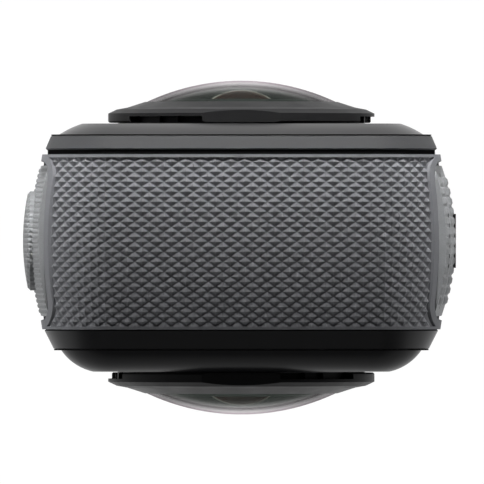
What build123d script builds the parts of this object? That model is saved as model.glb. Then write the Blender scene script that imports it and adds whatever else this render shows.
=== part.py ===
from build123d import *
import os
from math import asin, degrees, sqrt

os.makedirs("parts", exist_ok=True)

# A two-lens 360 degree camera, in millimetres. It stands on its base at Z = 0. The front lens looks
# along -Y, and the back lens and the touch screen look along +Y. Reach is how far something stands
# outside the chassis, and face height is how far it stands off the cover that carries it.

# Body
total_height = 69.7
foot_height = 0.8
chassis_width = 54.0
chassis_corner = 8.2
chassis_wall = 2.6
shoulder_step = 1.4
band_middle = 0.9
band_depth = 25.6
overrun = 1.0

# Grip band: smooth rims stand round its studded field, as high as the studs
grip_edge_reach = 2.15
grip_crest_reach = 3.2
stud_height = 0.4
grip_rim_width = 0.45
window_rim_width = 1.1

# Bezels, seal and covers, from the grip band outwards
front_bezel_depth = 2.97
front_bezel_reach = 1.8
front_bezel_end_reach = 0.4
front_cover_depth = 3.23
front_cover_reach = -0.56
front_cover_bend_reach = -2.5
front_cover_bend_share = 0.62
front_cover_flat_reach = -5.3
seal_depth = 0.66
seal_reach = 1.35
back_bezel_depth = 2.15
back_bezel_reach = 1.65
back_bezel_end_reach = 0.8
back_cover_depth = 1.7
back_cover_reach = -0.2
back_cover_bend_reach = -1.7
back_cover_bend_share = 0.52
back_cover_flat_reach = -3.7
cover_skin = 1.5
cover_pocket_reach = -4.2
edge_break = 0.2

# Lens mounts and the twist-off lens rings, as radii and as heights off the cover's face
lens_drop = 24.0
plinth_radius = 18.2
plinth_stand = 0.16
flange_extra = 1.2
flange_depth = 1.4
collar_radius = 15.5
collar_wall = 2.2
lug_reach = 1.2
lug_height = 0.5
lug_angle = 30.0
entry_angle = 34.0
ring_radius = 19.6
ring_gap = 0.06
ring_ledge = 0.43
ring_side_height = 1.35
ring_bevel_rise = 0.6
ring_bevel_run = 1.25
ring_crown_rise = 0.28
slot_angle = 40.0
slot_floor_radius = 17.8
slot_lip = 0.45
slot_rib_radius = 18.5
slot_rib_width = 0.8
slot_rib_turns = (-5.5, 4.5)
recess_flat = 18.72
tab_turn = 80.0
slot_turn = 37.0
lugs = 3
running_gap = 0.08
fit_gap = 0.1

# Dome glass, its seal and the cone that holds it
dome_rise = 6.4
dome_rim_rise = 2.96
dome_wall = 0.7
dome_rim_radius = 14.6
cone_radius = 16.8
cone_floor = 0.45
cone_lip_radius = 14.2
dome_seal_width = 0.9
dome_seal_gap = 0.03

# Lens barrel and its glass
barrel_radius = 9.5
barrel_end = 14.4
barrel_flange_gap = 0.1
barrel_flange_depth = 2.7
baffle_rise = 3.7
baffle_radius = 10.0
baffle_shoulder_rise = 2.0
eye_rise = 5.1
eye_curve_radius = 7.8
eye_radius = 5.5
eye_window_radius = 4.75
eye_depth = 4.2
eye_seat_rise = 2.9
bore_radius = 4.4
rear_glass_depth = 6.0
rear_glass_drop = 4.2
rear_glass_curve_radius = 9.0
sensor_board_size = 19.0
sensor_board_thickness = 1.0
sensor_width = 6.4
sensor_height = 4.8
sensor_thickness = 0.6

# Side pads, shared by the buttons on the left and the door on the right
pad_depth = 22.1
pad_offset = 0.15
pad_bottom = 13.0
pad_top_margin = 3.5
pad_corner = 2.2
pad_groove = 0.6
pad_edge_reach = 2.6
button_pad_crest = 31.15
door_crest = 31.45
pad_crest_height = 30.0
pad_curve_radius = 363.0

# Buttons
shutter_radius = 7.3
shutter_height = 42.0
shutter_crest = 32.15
mode_radius = 3.4
mode_height = 25.5
mode_crest = 32.0
button_gap = 0.1
button_dome = 0.7
button_edge = 0.4
button_travel = 0.5
stem_radius = 1.8
stem_gap = 0.3
stem_free_play = 0.1
switch_size = 5.0
switch_height = 1.6
plunger_radius = 1.2
plunger_height = 0.7
button_board_thickness = 1.0
button_board_width = 12.0
button_board_margin = 4.0
spacer_radius = 1.2

# Door, hinge and latch
door_gap = 0.3
door_split = 1.2
hinge_drop = 8.6
hinge_part_gap = 0.2
hinge_round = 1.5
hinge_reach = 2.0
hinge_swing_room = 0.8
knuckle_radius = 1.2
knuckle_web = 0.3
knuckle_width = 9.0
knuckle_gap = 0.2
hinge_pin_radius = 0.5
hinge_pin_gap = 0.05
hinge_pin_length = 15.0
opening_side_margin = 1.45
opening_end_margin = 2.2
opening_corner = 4.0
door_seal_width = 1.1
door_seal_gap = 0.25
door_seal_entry = 1.0
latch_width = 9.0
latch_height = 5.0
latch_bottom = 17.5
latch_travel = 2.0
latch_thickness = 1.0
latch_sink = 0.95
latch_gap = 0.2
latch_stem_width = 4.0
latch_stem_height = 2.0
latch_tongue_thickness = 0.9
latch_hold_depth = 1.0
latch_ridges = 3
latch_ridge_height = 0.3
latch_ridge_width = 0.5
latch_ridge_pitch = 1.4

# Battery and its bay
battery_gap = 0.35
bay_wall = 0.8
bay_length = 38.4
bay_height = 16.8
battery_end_recess = 0.2
contact_count = 4
contact_width = 1.4
contact_pitch = 3.2
contact_height = 6.0
contact_depth = 1.2

# Ports behind the door
port_panel_thickness = 1.5
port_board_thickness = 1.0
port_board_height = 41.0
port_board_inset = 0.6
port_board_start = 10.6
usb_width = 8.94
usb_height = 3.26
usb_shell = 0.3
usb_length = 7.4
usb_tongue_thickness = 0.7
usb_tongue_width = 6.7
card_width = 11.0
card_length = 15.0
card_thickness = 0.8
card_cage_wall = 0.3
card_cage_width = 12.6
card_cage_length = 12.0
card_proud = 0.6
port_gap = 0.1

# Boards, heat plate, screen, speaker, antenna, microphones and lights
board_thickness = 1.2
board_bottom = 16.5
board_top_margin = 2.0
board_back = -11.4
board_hole_gap = 0.9
chip_size = 13.0
chip_rise = 1.2
small_chip_size = 7.0
heat_plate_thickness = 0.8
glass_width = 36.0
glass_height = 13.6
glass_middle = 15.0
glass_thickness = 0.7
glass_corner = 2.0
panel_margin = 0.9
panel_thickness = 1.6
speaker_width = 14.0
speaker_height = 5.6
speaker_depth = 4.4
speaker_left = -20.4
speaker_bottom = 9.8
grille_slots = 6
grille_slot_width = 0.8
grille_slot_height = 3.2
grille_pitch = 1.7
antenna_size = 12.0
antenna_thickness = 4.0
microphone_radius = 0.5
microphone_side = 20.6
microphone_height = 19.0
microphone_can_width = 3.0
microphone_can_depth = 1.0
light_radius = 0.9
light_side = 17.0
light_height = 12.4
back_light_side = 19.0
back_light_height = 59.0
light_collar = 0.5
light_collar_depth = 0.6

# Mounting base and its two folding fingers
finger_width = 15.0
finger_thickness = 3.0
finger_gap = 3.2
finger_reach = 9.4
finger_lift = 0.3
finger_hole_radius = 2.55
pocket_gap = 0.4
pocket_roof_gap = 0.3
base_wall = 1.4
base_height = 8.5
base_edge = 0.6
boss_radius = 4.6
boss_gap = 0.15
boss_finger_gap = 0.8
insert_radius = 4.0
thread_radius = 3.175
insert_length = 6.0
finger_pin_radius = 0.6
finger_pin_gap = 0.06
finger_pin_grip = 1.0
screw_head_radius = 1.5
screw_head_height = 0.8
screw_shank_radius = 0.8
screw_bite = 1.5
bridge_wall = 1.4
bridge_thickness = 2.2

# Places worked out from the sizes above
chassis_bottom = foot_height + grip_crest_reach
chassis_top = total_height - grip_crest_reach
chassis_height = chassis_top - chassis_bottom
body_middle = (chassis_bottom + chassis_top) / 2
half_width = chassis_width / 2
inner_half_width = half_width - chassis_wall
lens_height = chassis_top - lens_drop
grip_front = band_middle - band_depth / 2
grip_back = band_middle + band_depth / 2
front_step = grip_front - front_bezel_depth
front_face = front_step - front_cover_depth
back_seal_end = grip_back + seal_depth
back_step = back_seal_end + back_bezel_depth
back_face = back_step + back_cover_depth
side_middle = band_middle + pad_offset
pad_top = chassis_top - pad_top_margin
pad_height = pad_top - pad_bottom
pad_middle = pad_bottom + pad_height / 2


def upright(y):
    """A plane that stands at depth y and is seen from the front."""
    return Plane.XZ.offset(-y)


def sideways(x):
    """A plane that stands at width x: its x is the depth and its y is the height."""
    return Plane.YZ.offset(x)


def body_outline(reach):
    """Draws the camera's rounded outline, this far outside the chassis."""
    with Locations((0, body_middle)):
        RectangleRounded(chassis_width + 2 * reach, chassis_height + 2 * reach, chassis_corner + reach)


def pad_outline(extra, mode=Mode.ADD):
    """Draws a side pad's rounded outline, this much larger all round."""
    with Locations((side_middle, pad_middle)):
        RectangleRounded(pad_depth + 2 * extra, pad_height + 2 * extra, pad_corner + extra, mode=mode)


# The loop round the chassis that every band and bezel follows
with BuildLine(Plane.XZ) as body_loop:
    loop_top = Line((0, chassis_top), (half_width - chassis_corner, chassis_top))
    loop_upper_corner = JernArc(loop_top @ 1, loop_top % 1, chassis_corner, -90)
    side_end = (half_width, chassis_bottom + chassis_corner)
    loop_side = Line(loop_upper_corner @ 1, side_end)
    loop_lower_corner = JernArc(loop_side @ 1, loop_side % 1, chassis_corner, -90)
    loop_bottom = Line(loop_lower_corner @ 1, (0, chassis_bottom))
    mirror(about=Plane.YZ)
loop = body_loop.wires()[0]

# Sections round the loop are drawn here: x is the depth and y is the reach
section_plane = Plane(origin=(0, 0, chassis_top), x_dir=(0, 1, 0), z_dir=(1, 0, 0))


# Grip band, barrel-shaped from front to back, with a window for each side pad and one for the base
base_middle_distance = finger_gap / 2 + finger_thickness / 2 + finger_reach
pocket_radius = finger_width / 2 + pocket_gap
base_radius = pocket_radius + base_wall
pocket_depth = finger_lift + finger_thickness + pocket_roof_gap
screw_place = finger_width / 2 - 2 * screw_head_radius


def barrel_section(lower):
    """The band's section, barrel-shaped from front to back, this much below the rims."""
    with BuildSketch() as section:
        with BuildLine():
            Polyline(
                (grip_back, grip_edge_reach - lower),
                (grip_back, 0),
                (grip_front, 0),
                (grip_front, grip_edge_reach - lower),
            )
            ThreePointArc(
                (grip_front, grip_edge_reach - lower),
                (band_middle, grip_crest_reach - lower),
                (grip_back, grip_edge_reach - lower),
            )
        make_face()
    return section.sketch


# Smooth rims: along both edges of the band, and round each side pad
with BuildPart() as grip_rims:
    with BuildSketch(section_plane):
        add(barrel_section(0))
    sweep(path=loop)
    with BuildSketch(Plane.YZ):
        with Locations((band_middle, body_middle)):
            Rectangle(band_depth - 2 * grip_rim_width, 2 * total_height)
        pad_outline(pad_groove + window_rim_width, Mode.SUBTRACT)
    extrude(amount=chassis_width, both=True, mode=Mode.SUBTRACT)

with BuildPart() as grip_band:
    with BuildSketch(section_plane):
        add(barrel_section(stud_height))
    sweep(path=loop)
    add(grip_rims.part)
    with BuildSketch(Plane.YZ):
        pad_outline(pad_groove)
    extrude(amount=chassis_width, both=True, mode=Mode.SUBTRACT)
    with BuildSketch(Plane.XY):
        with Locations((0, side_middle)):
            SlotCenterToCenter(2 * base_middle_distance, 2 * base_radius)
    extrude(amount=base_height, mode=Mode.SUBTRACT)
grip_band.part.label = "grip_band"
export_step(grip_band.part, "parts/grip_band.step")


# Chassis: a metal frame with a shoulder at each end for the bezels, and a bridge over the base
opening_width = pad_depth - 2 * opening_side_margin
opening_bottom = pad_bottom + opening_end_margin
hinge_height = pad_top - hinge_drop
hinge_block_bottom = hinge_height - hinge_round
door_top = hinge_block_bottom - hinge_part_gap
opening_top = door_top - opening_end_margin
opening_height = opening_top - opening_bottom
opening_middle = (opening_top + opening_bottom) / 2


def opening_outline(inset, mode=Mode.ADD):
    """Draws the outline of the opening behind the door, this much smaller all round."""
    width = opening_width - 2 * inset
    height = opening_height - 2 * inset
    with Locations((side_middle, opening_middle)):
        RectangleRounded(width, height, opening_corner - inset, mode=mode)


with BuildPart() as chassis:
    with BuildSketch(upright(grip_front)):
        body_outline(0)
    extrude(amount=grip_front - back_seal_end)
    with BuildSketch(upright(back_step)):
        body_outline(-shoulder_step)
    extrude(amount=back_step - front_step)
    with BuildSketch(upright(back_step)):
        body_outline(-chassis_wall)
    extrude(amount=back_step - front_step, mode=Mode.SUBTRACT)
    with BuildSketch(Plane.XY.offset(chassis_bottom + chassis_wall)):
        with Locations((0, side_middle)):
            SlotCenterToCenter(2 * base_middle_distance, 2 * (base_radius + bridge_wall))
    extrude(amount=base_height + bridge_thickness - chassis_bottom - chassis_wall)
    with BuildSketch(Plane.YZ):
        opening_outline(0)
    extrude(amount=chassis_width, mode=Mode.SUBTRACT)
    latch_hold_plane = Plane(origin=(half_width, side_middle, opening_bottom))
    with BuildSketch(latch_hold_plane):
        Rectangle(2 * chassis_wall, latch_stem_width + 2 * latch_gap)
    extrude(amount=latch_hold_depth + 2 * latch_gap, both=True, mode=Mode.SUBTRACT)
    with BuildSketch(Plane.YZ):
        with Locations((side_middle, shutter_height), (side_middle, mode_height)):
            Circle(stem_radius + stem_gap)
    extrude(amount=-chassis_width, mode=Mode.SUBTRACT)
    with BuildSketch(Plane.XY):
        with Locations((0, side_middle)):
            SlotCenterToCenter(2 * base_middle_distance, 2 * base_radius)
    extrude(amount=base_height, mode=Mode.SUBTRACT)
    with BuildSketch(Plane.XY.offset(base_height)):
        with Locations((0, side_middle)):
            with GridLocations(2 * base_middle_distance, 2 * screw_place, 2, 2):
                Circle(screw_shank_radius)
    extrude(amount=screw_bite, mode=Mode.SUBTRACT)
chassis.part.label = "chassis"
export_step(chassis.part, "parts/chassis.step")


# Front bezel: a dark frame that slopes from the grip to the front cover
with BuildPart() as front_bezel:
    with BuildSketch(section_plane):
        with BuildLine():
            Polyline(
                (grip_front, -shoulder_step),
                (grip_front, front_bezel_reach - edge_break),
                (grip_front - edge_break, front_bezel_reach),
                (front_step + edge_break, front_bezel_end_reach + edge_break / 2),
                (front_step, front_bezel_end_reach - edge_break),
                (front_step, -shoulder_step),
                close=True,
            )
        make_face()
    sweep(path=loop)
front_bezel.part.label = "front_bezel"
export_step(front_bezel.part, "parts/front_bezel.step")

# Back seal: the recessed rubber line between the grip and the back bezel
with BuildPart() as back_seal:
    with BuildSketch(section_plane):
        with BuildLine():
            Polyline(
                (grip_back, 0),
                (grip_back, seal_reach),
                (back_seal_end, seal_reach),
                (back_seal_end, 0),
                close=True,
            )
        make_face()
    sweep(path=loop)
back_seal.part.label = "back_seal"
export_step(back_seal.part, "parts/back_seal.step")

# Back bezel
with BuildPart() as back_bezel:
    with BuildSketch(section_plane):
        with BuildLine():
            Polyline(
                (back_seal_end, -shoulder_step),
                (back_seal_end, back_bezel_reach - edge_break),
                (back_seal_end + edge_break, back_bezel_reach),
                (back_step - edge_break, back_bezel_end_reach + edge_break / 2),
                (back_step, back_bezel_end_reach - edge_break),
                (back_step, -shoulder_step),
                close=True,
            )
        make_face()
    sweep(path=loop)
back_bezel.part.label = "back_bezel"
export_step(back_bezel.part, "parts/back_bezel.step")


# Front cover: a flat face with edges that curve back to the bezel, hollow behind
front_skin_back = front_face + cover_skin
speaker_middle = speaker_left + speaker_width / 2
grille_height = speaker_bottom + speaker_height / 2

with BuildPart() as front_cover:
    with BuildSketch(section_plane):
        with BuildLine():
            Polyline(
                (front_face, front_cover_flat_reach),
                (front_step, front_cover_flat_reach),
                (front_step, front_cover_reach),
            )
            ThreePointArc(
                (front_step, front_cover_reach),
                (front_step - front_cover_depth * front_cover_bend_share, front_cover_bend_reach),
                (front_face, front_cover_flat_reach),
            )
        make_face()
    sweep(path=loop)
    with BuildSketch(upright(front_step)):
        body_outline(front_cover_flat_reach)
    extrude(amount=front_cover_depth)
    with BuildSketch(upright(front_step)):
        body_outline(cover_pocket_reach)
    extrude(amount=front_cover_depth - cover_skin, mode=Mode.SUBTRACT)
    with BuildSketch(upright(front_step)):
        with Locations((0, lens_height)):
            Circle(plinth_radius)
        with Locations((speaker_middle, grille_height)):
            with GridLocations(grille_pitch, 0, grille_slots, 1):
                SlotOverall(grille_slot_height, grille_slot_width, rotation=90)
        with Locations((-microphone_side, microphone_height), (microphone_side, microphone_height)):
            Circle(microphone_radius)
        with Locations((light_side, light_height)):
            Circle(light_radius)
    extrude(amount=front_cover_depth, mode=Mode.SUBTRACT)
front_cover.part.label = "front_cover"
export_step(front_cover.part, "parts/front_cover.step")

# Back cover, with a window for the screen
back_skin_front = back_face - cover_skin

with BuildPart() as back_cover:
    with BuildSketch(section_plane):
        with BuildLine():
            Polyline(
                (back_face, back_cover_flat_reach),
                (back_step, back_cover_flat_reach),
                (back_step, back_cover_reach),
            )
            ThreePointArc(
                (back_step, back_cover_reach),
                (back_step + back_cover_depth * back_cover_bend_share, back_cover_bend_reach),
                (back_face, back_cover_flat_reach),
            )
        make_face()
    sweep(path=loop)
    with BuildSketch(upright(back_step)):
        body_outline(back_cover_flat_reach)
    extrude(amount=-back_cover_depth)
    with BuildSketch(upright(back_step)):
        body_outline(cover_pocket_reach)
    extrude(amount=cover_skin - back_cover_depth, mode=Mode.SUBTRACT)
    with BuildSketch(upright(back_step)):
        with Locations((0, lens_height)):
            Circle(plinth_radius)
        with Locations((0, glass_middle)):
            RectangleRounded(
                glass_width - 2 * panel_margin, glass_height - 2 * panel_margin, glass_corner - panel_margin
            )
        with Locations((-microphone_side, microphone_height), (microphone_side, microphone_height)):
            Circle(microphone_radius)
        with Locations((-back_light_side, back_light_height)):
            Circle(light_radius)
    extrude(amount=-back_cover_depth, mode=Mode.SUBTRACT)
    with BuildSketch(upright(back_face)):
        with Locations((0, glass_middle)):
            RectangleRounded(glass_width, glass_height, glass_corner)
    extrude(amount=glass_thickness, mode=Mode.SUBTRACT)
back_cover.part.label = "back_cover"
export_step(back_cover.part, "parts/back_cover.step")

# Touch glass, flush with the back cover, and the display panel behind it
with BuildPart() as touch_glass:
    with BuildSketch(upright(back_face)):
        with Locations((0, glass_middle)):
            RectangleRounded(glass_width, glass_height, glass_corner)
    extrude(amount=glass_thickness)
touch_glass.part.label = "touch_glass"
export_step(touch_glass.part, "parts/touch_glass.step")

with BuildPart() as display_panel:
    with BuildSketch(upright(back_face - glass_thickness)):
        with Locations((0, glass_middle)):
            RectangleRounded(
                glass_width - 2 * panel_margin, glass_height - 2 * panel_margin, glass_corner - panel_margin
            )
    extrude(amount=panel_thickness)
display_panel.part.label = "display_panel"
export_step(display_panel.part, "parts/display_panel.step")


# Both lenses are alike. Each is built on its own cover's face, and is seen the same way from outside.
lens_faces = {
    "front": Plane(origin=(0, front_face, lens_height), x_dir=(1, 0, 0), z_dir=(0, -1, 0)),
    "back": Plane(origin=(0, back_face, lens_height), x_dir=(-1, 0, 0), z_dir=(0, 1, 0)),
}

collar_bore = collar_radius - collar_wall
lug_radius = collar_radius + lug_reach
ring_bore = collar_radius + running_gap
groove_radius = lug_radius + fit_gap
ring_bottom = plinth_stand + ring_gap
ledge_top = ring_bottom + ring_ledge
lug_bottom = ledge_top + running_gap
lug_top = lug_bottom + lug_height
cone_bottom = lug_top + running_gap
ring_side_top = ring_bottom + ring_side_height
ring_bevel_top = ring_side_top + ring_bevel_rise
ring_top = ring_bevel_top + ring_crown_rise
slot_top = ring_side_top - slot_lip
rib_width = degrees(slot_rib_width / slot_rib_radius)
dome_bow = dome_rise - dome_rim_rise
dome_radius = (dome_rim_radius**2 + dome_bow**2) / (2 * dome_bow)
dome_centre = dome_rise - dome_radius
dome_inner_radius = dome_radius - dome_wall
cone_floor_top = cone_bottom + cone_floor
barrel_flange_radius = collar_bore - barrel_flange_gap
baffle_top = baffle_rise
eye_centre = eye_rise - eye_curve_radius
eye_back = eye_seat_rise - eye_depth
eye_lip = eye_centre + sqrt(eye_curve_radius**2 - eye_window_radius**2) + dome_seal_gap
rear_glass_top = eye_back - rear_glass_drop


def radial_plane(face):
    """A plane through a lens's axis: its x is the radius and its y is the height off the cover."""
    return Plane(origin=face.origin, x_dir=face.x_dir, z_dir=-face.y_dir)


def lens_axis(face):
    """The axis that a lens looks along."""
    return Axis(face.origin, face.z_dir)


def sphere_height(radius, centre, curve_radius):
    """The height of a ball's surface at this distance from the lens's axis."""
    return centre + sqrt(curve_radius**2 - radius**2)


def ring_sector(inner, outer, turn, width):
    """A stretch of a flat ring, turned clockwise from the top as it is seen from outside."""
    start = 90 - turn - width / 2
    with BuildSketch() as sector:
        with BuildLine():
            outer_arc = CenterArc((0, 0), outer, start, width)
            inner_arc = CenterArc((0, 0), inner, start, width)
            Line(outer_arc @ 0, inner_arc @ 0)
            Line(outer_arc @ 1, inner_arc @ 1)
        make_face()
    return sector.sketch


for side, face in lens_faces.items():
    # Lens mount: a flange behind the cover, a plinth through it and a collar with bayonet lugs
    with BuildPart() as lens_mount:
        with BuildSketch(radial_plane(face)):
            with BuildLine():
                Polyline(
                    (collar_bore, -cover_skin - flange_depth),
                    (plinth_radius + flange_extra, -cover_skin - flange_depth),
                    (plinth_radius + flange_extra, -cover_skin),
                    (plinth_radius, -cover_skin),
                    (plinth_radius, plinth_stand),
                    (collar_radius, plinth_stand),
                    (collar_radius, lug_top),
                    (collar_bore, lug_top),
                    close=True,
                )
            make_face()
        revolve(axis=lens_axis(face))
        with BuildSketch(face.offset(lug_bottom)):
            with PolarLocations(0, lugs):
                add(ring_sector(collar_radius - fit_gap, lug_radius, tab_turn, lug_angle))
        extrude(amount=lug_height)
    lens_mount.part.label = f"{side}_lens_mount"
    export_step(lens_mount.part, f"parts/{side}_lens_mount.step")

    # Lens ring: three grip tabs, three open slots with ribs, three flats, and a ledge under the lugs
    with BuildPart() as lens_ring:
        with BuildSketch(radial_plane(face)):
            with BuildLine():
                Polyline(
                    (ring_bore, ring_bottom),
                    (ring_radius - edge_break, ring_bottom),
                    (ring_radius, ring_bottom + edge_break),
                    (ring_radius, ring_side_top),
                    (ring_radius - ring_bevel_run, ring_bevel_top),
                    (cone_radius, ring_top),
                    (cone_radius, ledge_top),
                    (ring_bore, ledge_top),
                    close=True,
                )
            make_face()
        revolve(axis=lens_axis(face))
        with BuildSketch(face.offset(ring_bottom)):
            with PolarLocations(0, lugs):
                add(ring_sector(slot_floor_radius, ring_radius + overrun, slot_turn, slot_angle))
        extrude(amount=slot_top - ring_bottom, mode=Mode.SUBTRACT)
        with BuildSketch(face.offset(ring_bottom)):
            with PolarLocations(0, lugs):
                add(ring_sector(collar_bore, groove_radius, slot_turn, entry_angle))
        extrude(amount=ring_ledge, mode=Mode.SUBTRACT)
        with BuildSketch(face.offset(ring_bottom)):
            with PolarLocations(0, lugs):
                with Locations((0, recess_flat + overrun)):
                    Rectangle(ring_radius, 2 * overrun)
        extrude(amount=ring_top, mode=Mode.SUBTRACT)
        with BuildSketch(face.offset(ring_bottom)):
            with PolarLocations(0, lugs):
                for rib_turn in slot_rib_turns:
                    turn = slot_turn + rib_turn
                    add(ring_sector(slot_floor_radius - fit_gap, slot_rib_radius, turn, rib_width))
        extrude(amount=slot_top - ring_bottom)
    lens_ring.part.label = f"{side}_lens_ring"
    export_step(lens_ring.part, f"parts/{side}_lens_ring.step")

    # Dome cone: the black ring that clamps the dome glass into the lens ring
    cone_lip_height = sphere_height(cone_lip_radius, dome_centre, dome_radius) + dome_seal_gap
    rim_height = sphere_height(dome_rim_radius, dome_centre, dome_radius) + dome_seal_gap
    with BuildPart() as dome_cone:
        with BuildSketch(radial_plane(face)):
            with BuildLine():
                Polyline(
                    (dome_rim_radius - dome_seal_width, cone_bottom),
                    (cone_radius, cone_bottom),
                    (cone_radius, ring_top),
                    (cone_lip_radius, cone_lip_height + edge_break / 2),
                    (cone_lip_radius, cone_lip_height),
                    (dome_rim_radius + dome_seal_gap, rim_height),
                    (dome_rim_radius + dome_seal_gap, cone_floor_top),
                    (dome_rim_radius - dome_seal_width, cone_floor_top),
                    close=True,
                )
            make_face()
        revolve(axis=lens_axis(face))
    dome_cone.part.label = f"{side}_dome_cone"
    export_step(dome_cone.part, f"parts/{side}_dome_cone.step")

    # Dome seal: the gasket under the dome's rim
    seal_inner_radius = dome_rim_radius - dome_seal_width
    with BuildPart() as dome_seal:
        with BuildSketch(radial_plane(face)):
            with BuildLine():
                Polyline(
                    (seal_inner_radius, cone_floor_top),
                    (dome_rim_radius, cone_floor_top),
                    (dome_rim_radius, sphere_height(dome_rim_radius, dome_centre, dome_inner_radius)),
                    (seal_inner_radius, sphere_height(seal_inner_radius, dome_centre, dome_inner_radius)),
                    close=True,
                )
            make_face()
        revolve(axis=lens_axis(face))
    dome_seal.part.label = f"{side}_dome_seal"
    export_step(dome_seal.part, f"parts/{side}_dome_seal.step")

    # Dome glass: a thin spherical shell
    with BuildPart() as dome_glass:
        with BuildSketch(radial_plane(face)):
            with BuildLine():
                rim_outer = sphere_height(dome_rim_radius, dome_centre, dome_radius)
                rim_inner = sphere_height(dome_rim_radius, dome_centre, dome_inner_radius)
                half_rim = dome_rim_radius / 2
                ThreePointArc(
                    (0, dome_rise),
                    (half_rim, sphere_height(half_rim, dome_centre, dome_radius)),
                    (dome_rim_radius, rim_outer),
                )
                Line((dome_rim_radius, rim_outer), (dome_rim_radius, rim_inner))
                ThreePointArc(
                    (dome_rim_radius, rim_inner),
                    (half_rim, sphere_height(half_rim, dome_centre, dome_inner_radius)),
                    (0, dome_rise - dome_wall),
                )
                Line((0, dome_rise - dome_wall), (0, dome_rise))
            make_face()
        revolve(axis=lens_axis(face))
    dome_glass.part.label = f"{side}_dome_glass"
    export_step(dome_glass.part, f"parts/{side}_dome_glass.step")

    # Lens barrel, with the black baffle that shows through the dome
    with BuildPart() as lens_barrel:
        with BuildSketch(radial_plane(face)):
            with BuildLine():
                Polyline(
                    (bore_radius, -barrel_end),
                    (barrel_radius, -barrel_end),
                    (barrel_radius, lug_top - barrel_flange_depth),
                    (barrel_flange_radius, lug_top - barrel_flange_depth),
                    (barrel_flange_radius, baffle_shoulder_rise),
                    (baffle_radius, baffle_top),
                    (eye_window_radius, baffle_top),
                    (eye_window_radius, eye_lip),
                    (eye_radius, eye_lip),
                    (eye_radius, eye_back),
                    (bore_radius, eye_back),
                    close=True,
                )
            make_face()
        revolve(axis=lens_axis(face))
    lens_barrel.part.label = f"{side}_lens_barrel"
    export_step(lens_barrel.part, f"parts/{side}_lens_barrel.step")

    # Fisheye glass: the small dome at the front of the barrel
    with BuildPart() as fisheye_glass:
        with BuildSketch(radial_plane(face)):
            with BuildLine():
                eye_edge = sphere_height(eye_radius, eye_centre, eye_curve_radius)
                half_eye = eye_radius / 2
                ThreePointArc(
                    (0, eye_rise),
                    (half_eye, sphere_height(half_eye, eye_centre, eye_curve_radius)),
                    (eye_radius, eye_edge),
                )
                Polyline((eye_radius, eye_edge), (eye_radius, eye_back), (0, eye_back), (0, eye_rise))
            make_face()
        revolve(axis=lens_axis(face))
    fisheye_glass.part.label = f"{side}_fisheye_glass"
    export_step(fisheye_glass.part, f"parts/{side}_fisheye_glass.step")

    # Rear lens group
    with BuildPart() as rear_glass:
        with BuildSketch(radial_plane(face)):
            with BuildLine():
                rear_bottom = rear_glass_top - rear_glass_depth
                rear_bulge = rear_glass_curve_radius - sqrt(rear_glass_curve_radius**2 - bore_radius**2)
                Polyline(
                    (0, rear_glass_top),
                    (bore_radius, rear_glass_top),
                    (bore_radius, rear_bottom + rear_bulge),
                )
                RadiusArc((bore_radius, rear_bottom + rear_bulge), (0, rear_bottom), rear_glass_curve_radius)
                Line((0, rear_bottom), (0, rear_glass_top))
            make_face()
        revolve(axis=lens_axis(face))
    rear_glass.part.label = f"{side}_rear_glass"
    export_step(rear_glass.part, f"parts/{side}_rear_glass.step")

    # Sensor board across the end of the barrel, and the image sensor on it
    with BuildPart() as sensor_board:
        with BuildSketch(face.offset(-barrel_end)):
            Rectangle(sensor_board_size, sensor_board_size)
        extrude(amount=-sensor_board_thickness)
    sensor_board.part.label = f"{side}_sensor_board"
    export_step(sensor_board.part, f"parts/{side}_sensor_board.step")

    with BuildPart() as image_sensor:
        with BuildSketch(face.offset(-barrel_end)):
            Rectangle(sensor_width, sensor_height)
        extrude(amount=sensor_thickness)
    image_sensor.part.label = f"{side}_image_sensor"
    export_step(image_sensor.part, f"parts/{side}_image_sensor.step")


# Side pads. Their outer face bulges from front to back and leans in towards the top and the bottom.
def pad_depth_profile(crest, inner):
    """The pad's bulge, seen from above: x is the width outwards and y is the depth."""
    edge = half_width + pad_edge_reach
    rear = side_middle + pad_depth / 2
    fore = side_middle - pad_depth / 2
    with BuildSketch() as profile:
        with BuildLine():
            Polyline((edge, fore), (inner, fore), (inner, rear), (edge, rear))
            ThreePointArc((edge, rear), (crest, side_middle), (edge, fore))
        make_face()
    return profile.sketch


def pad_blank(crest, inner, bottom, top):
    """A right-hand pad between two heights, out from the plane at width inner, on the chassis's corner."""
    swing_centre = (crest - pad_curve_radius, 0, pad_crest_height)
    with BuildPart() as blank:
        for way, rise in ((-1, pad_top - pad_crest_height), (1, pad_crest_height - pad_bottom)):
            with BuildSketch(Plane.XY.offset(pad_crest_height)):
                add(pad_depth_profile(crest, inner))
            swing = degrees(asin((rise + overrun) / pad_curve_radius))
            revolve(axis=Axis(swing_centre, (0, way, 0)), revolution_arc=swing)
        with BuildSketch(sideways(inner)):
            pad_outline(0)
            with Locations((side_middle, (bottom + top) / 2)):
                Rectangle(pad_depth, top - bottom, mode=Mode.INTERSECT)
        extrude(amount=pad_depth, mode=Mode.INTERSECT)
        with BuildSketch(upright(grip_front)):
            body_outline(0)
        extrude(amount=-band_depth, mode=Mode.SUBTRACT)
    return blank.part


button_places = (
    (shutter_height, shutter_radius),
    (mode_height, mode_radius),
)

with BuildPart() as button_pad:
    add(pad_blank(button_pad_crest, inner_half_width, pad_bottom, pad_top).mirror(Plane.YZ))
    for button_height, button_radius in button_places:
        with BuildSketch(sideways(-half_width)):
            with Locations((side_middle, button_height)):
                Circle(button_radius + button_gap)
        extrude(amount=-half_width, mode=Mode.SUBTRACT)
button_pad.part.label = "button_pad"
export_step(button_pad.part, "parts/button_pad.step")


def button_plane(height):
    """A plane through a left-hand button's axis: its x is outwards and its y is the radius upwards."""
    return Plane(origin=(0, side_middle, height), x_dir=(-1, 0, 0), z_dir=(0, 1, 0))


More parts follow.
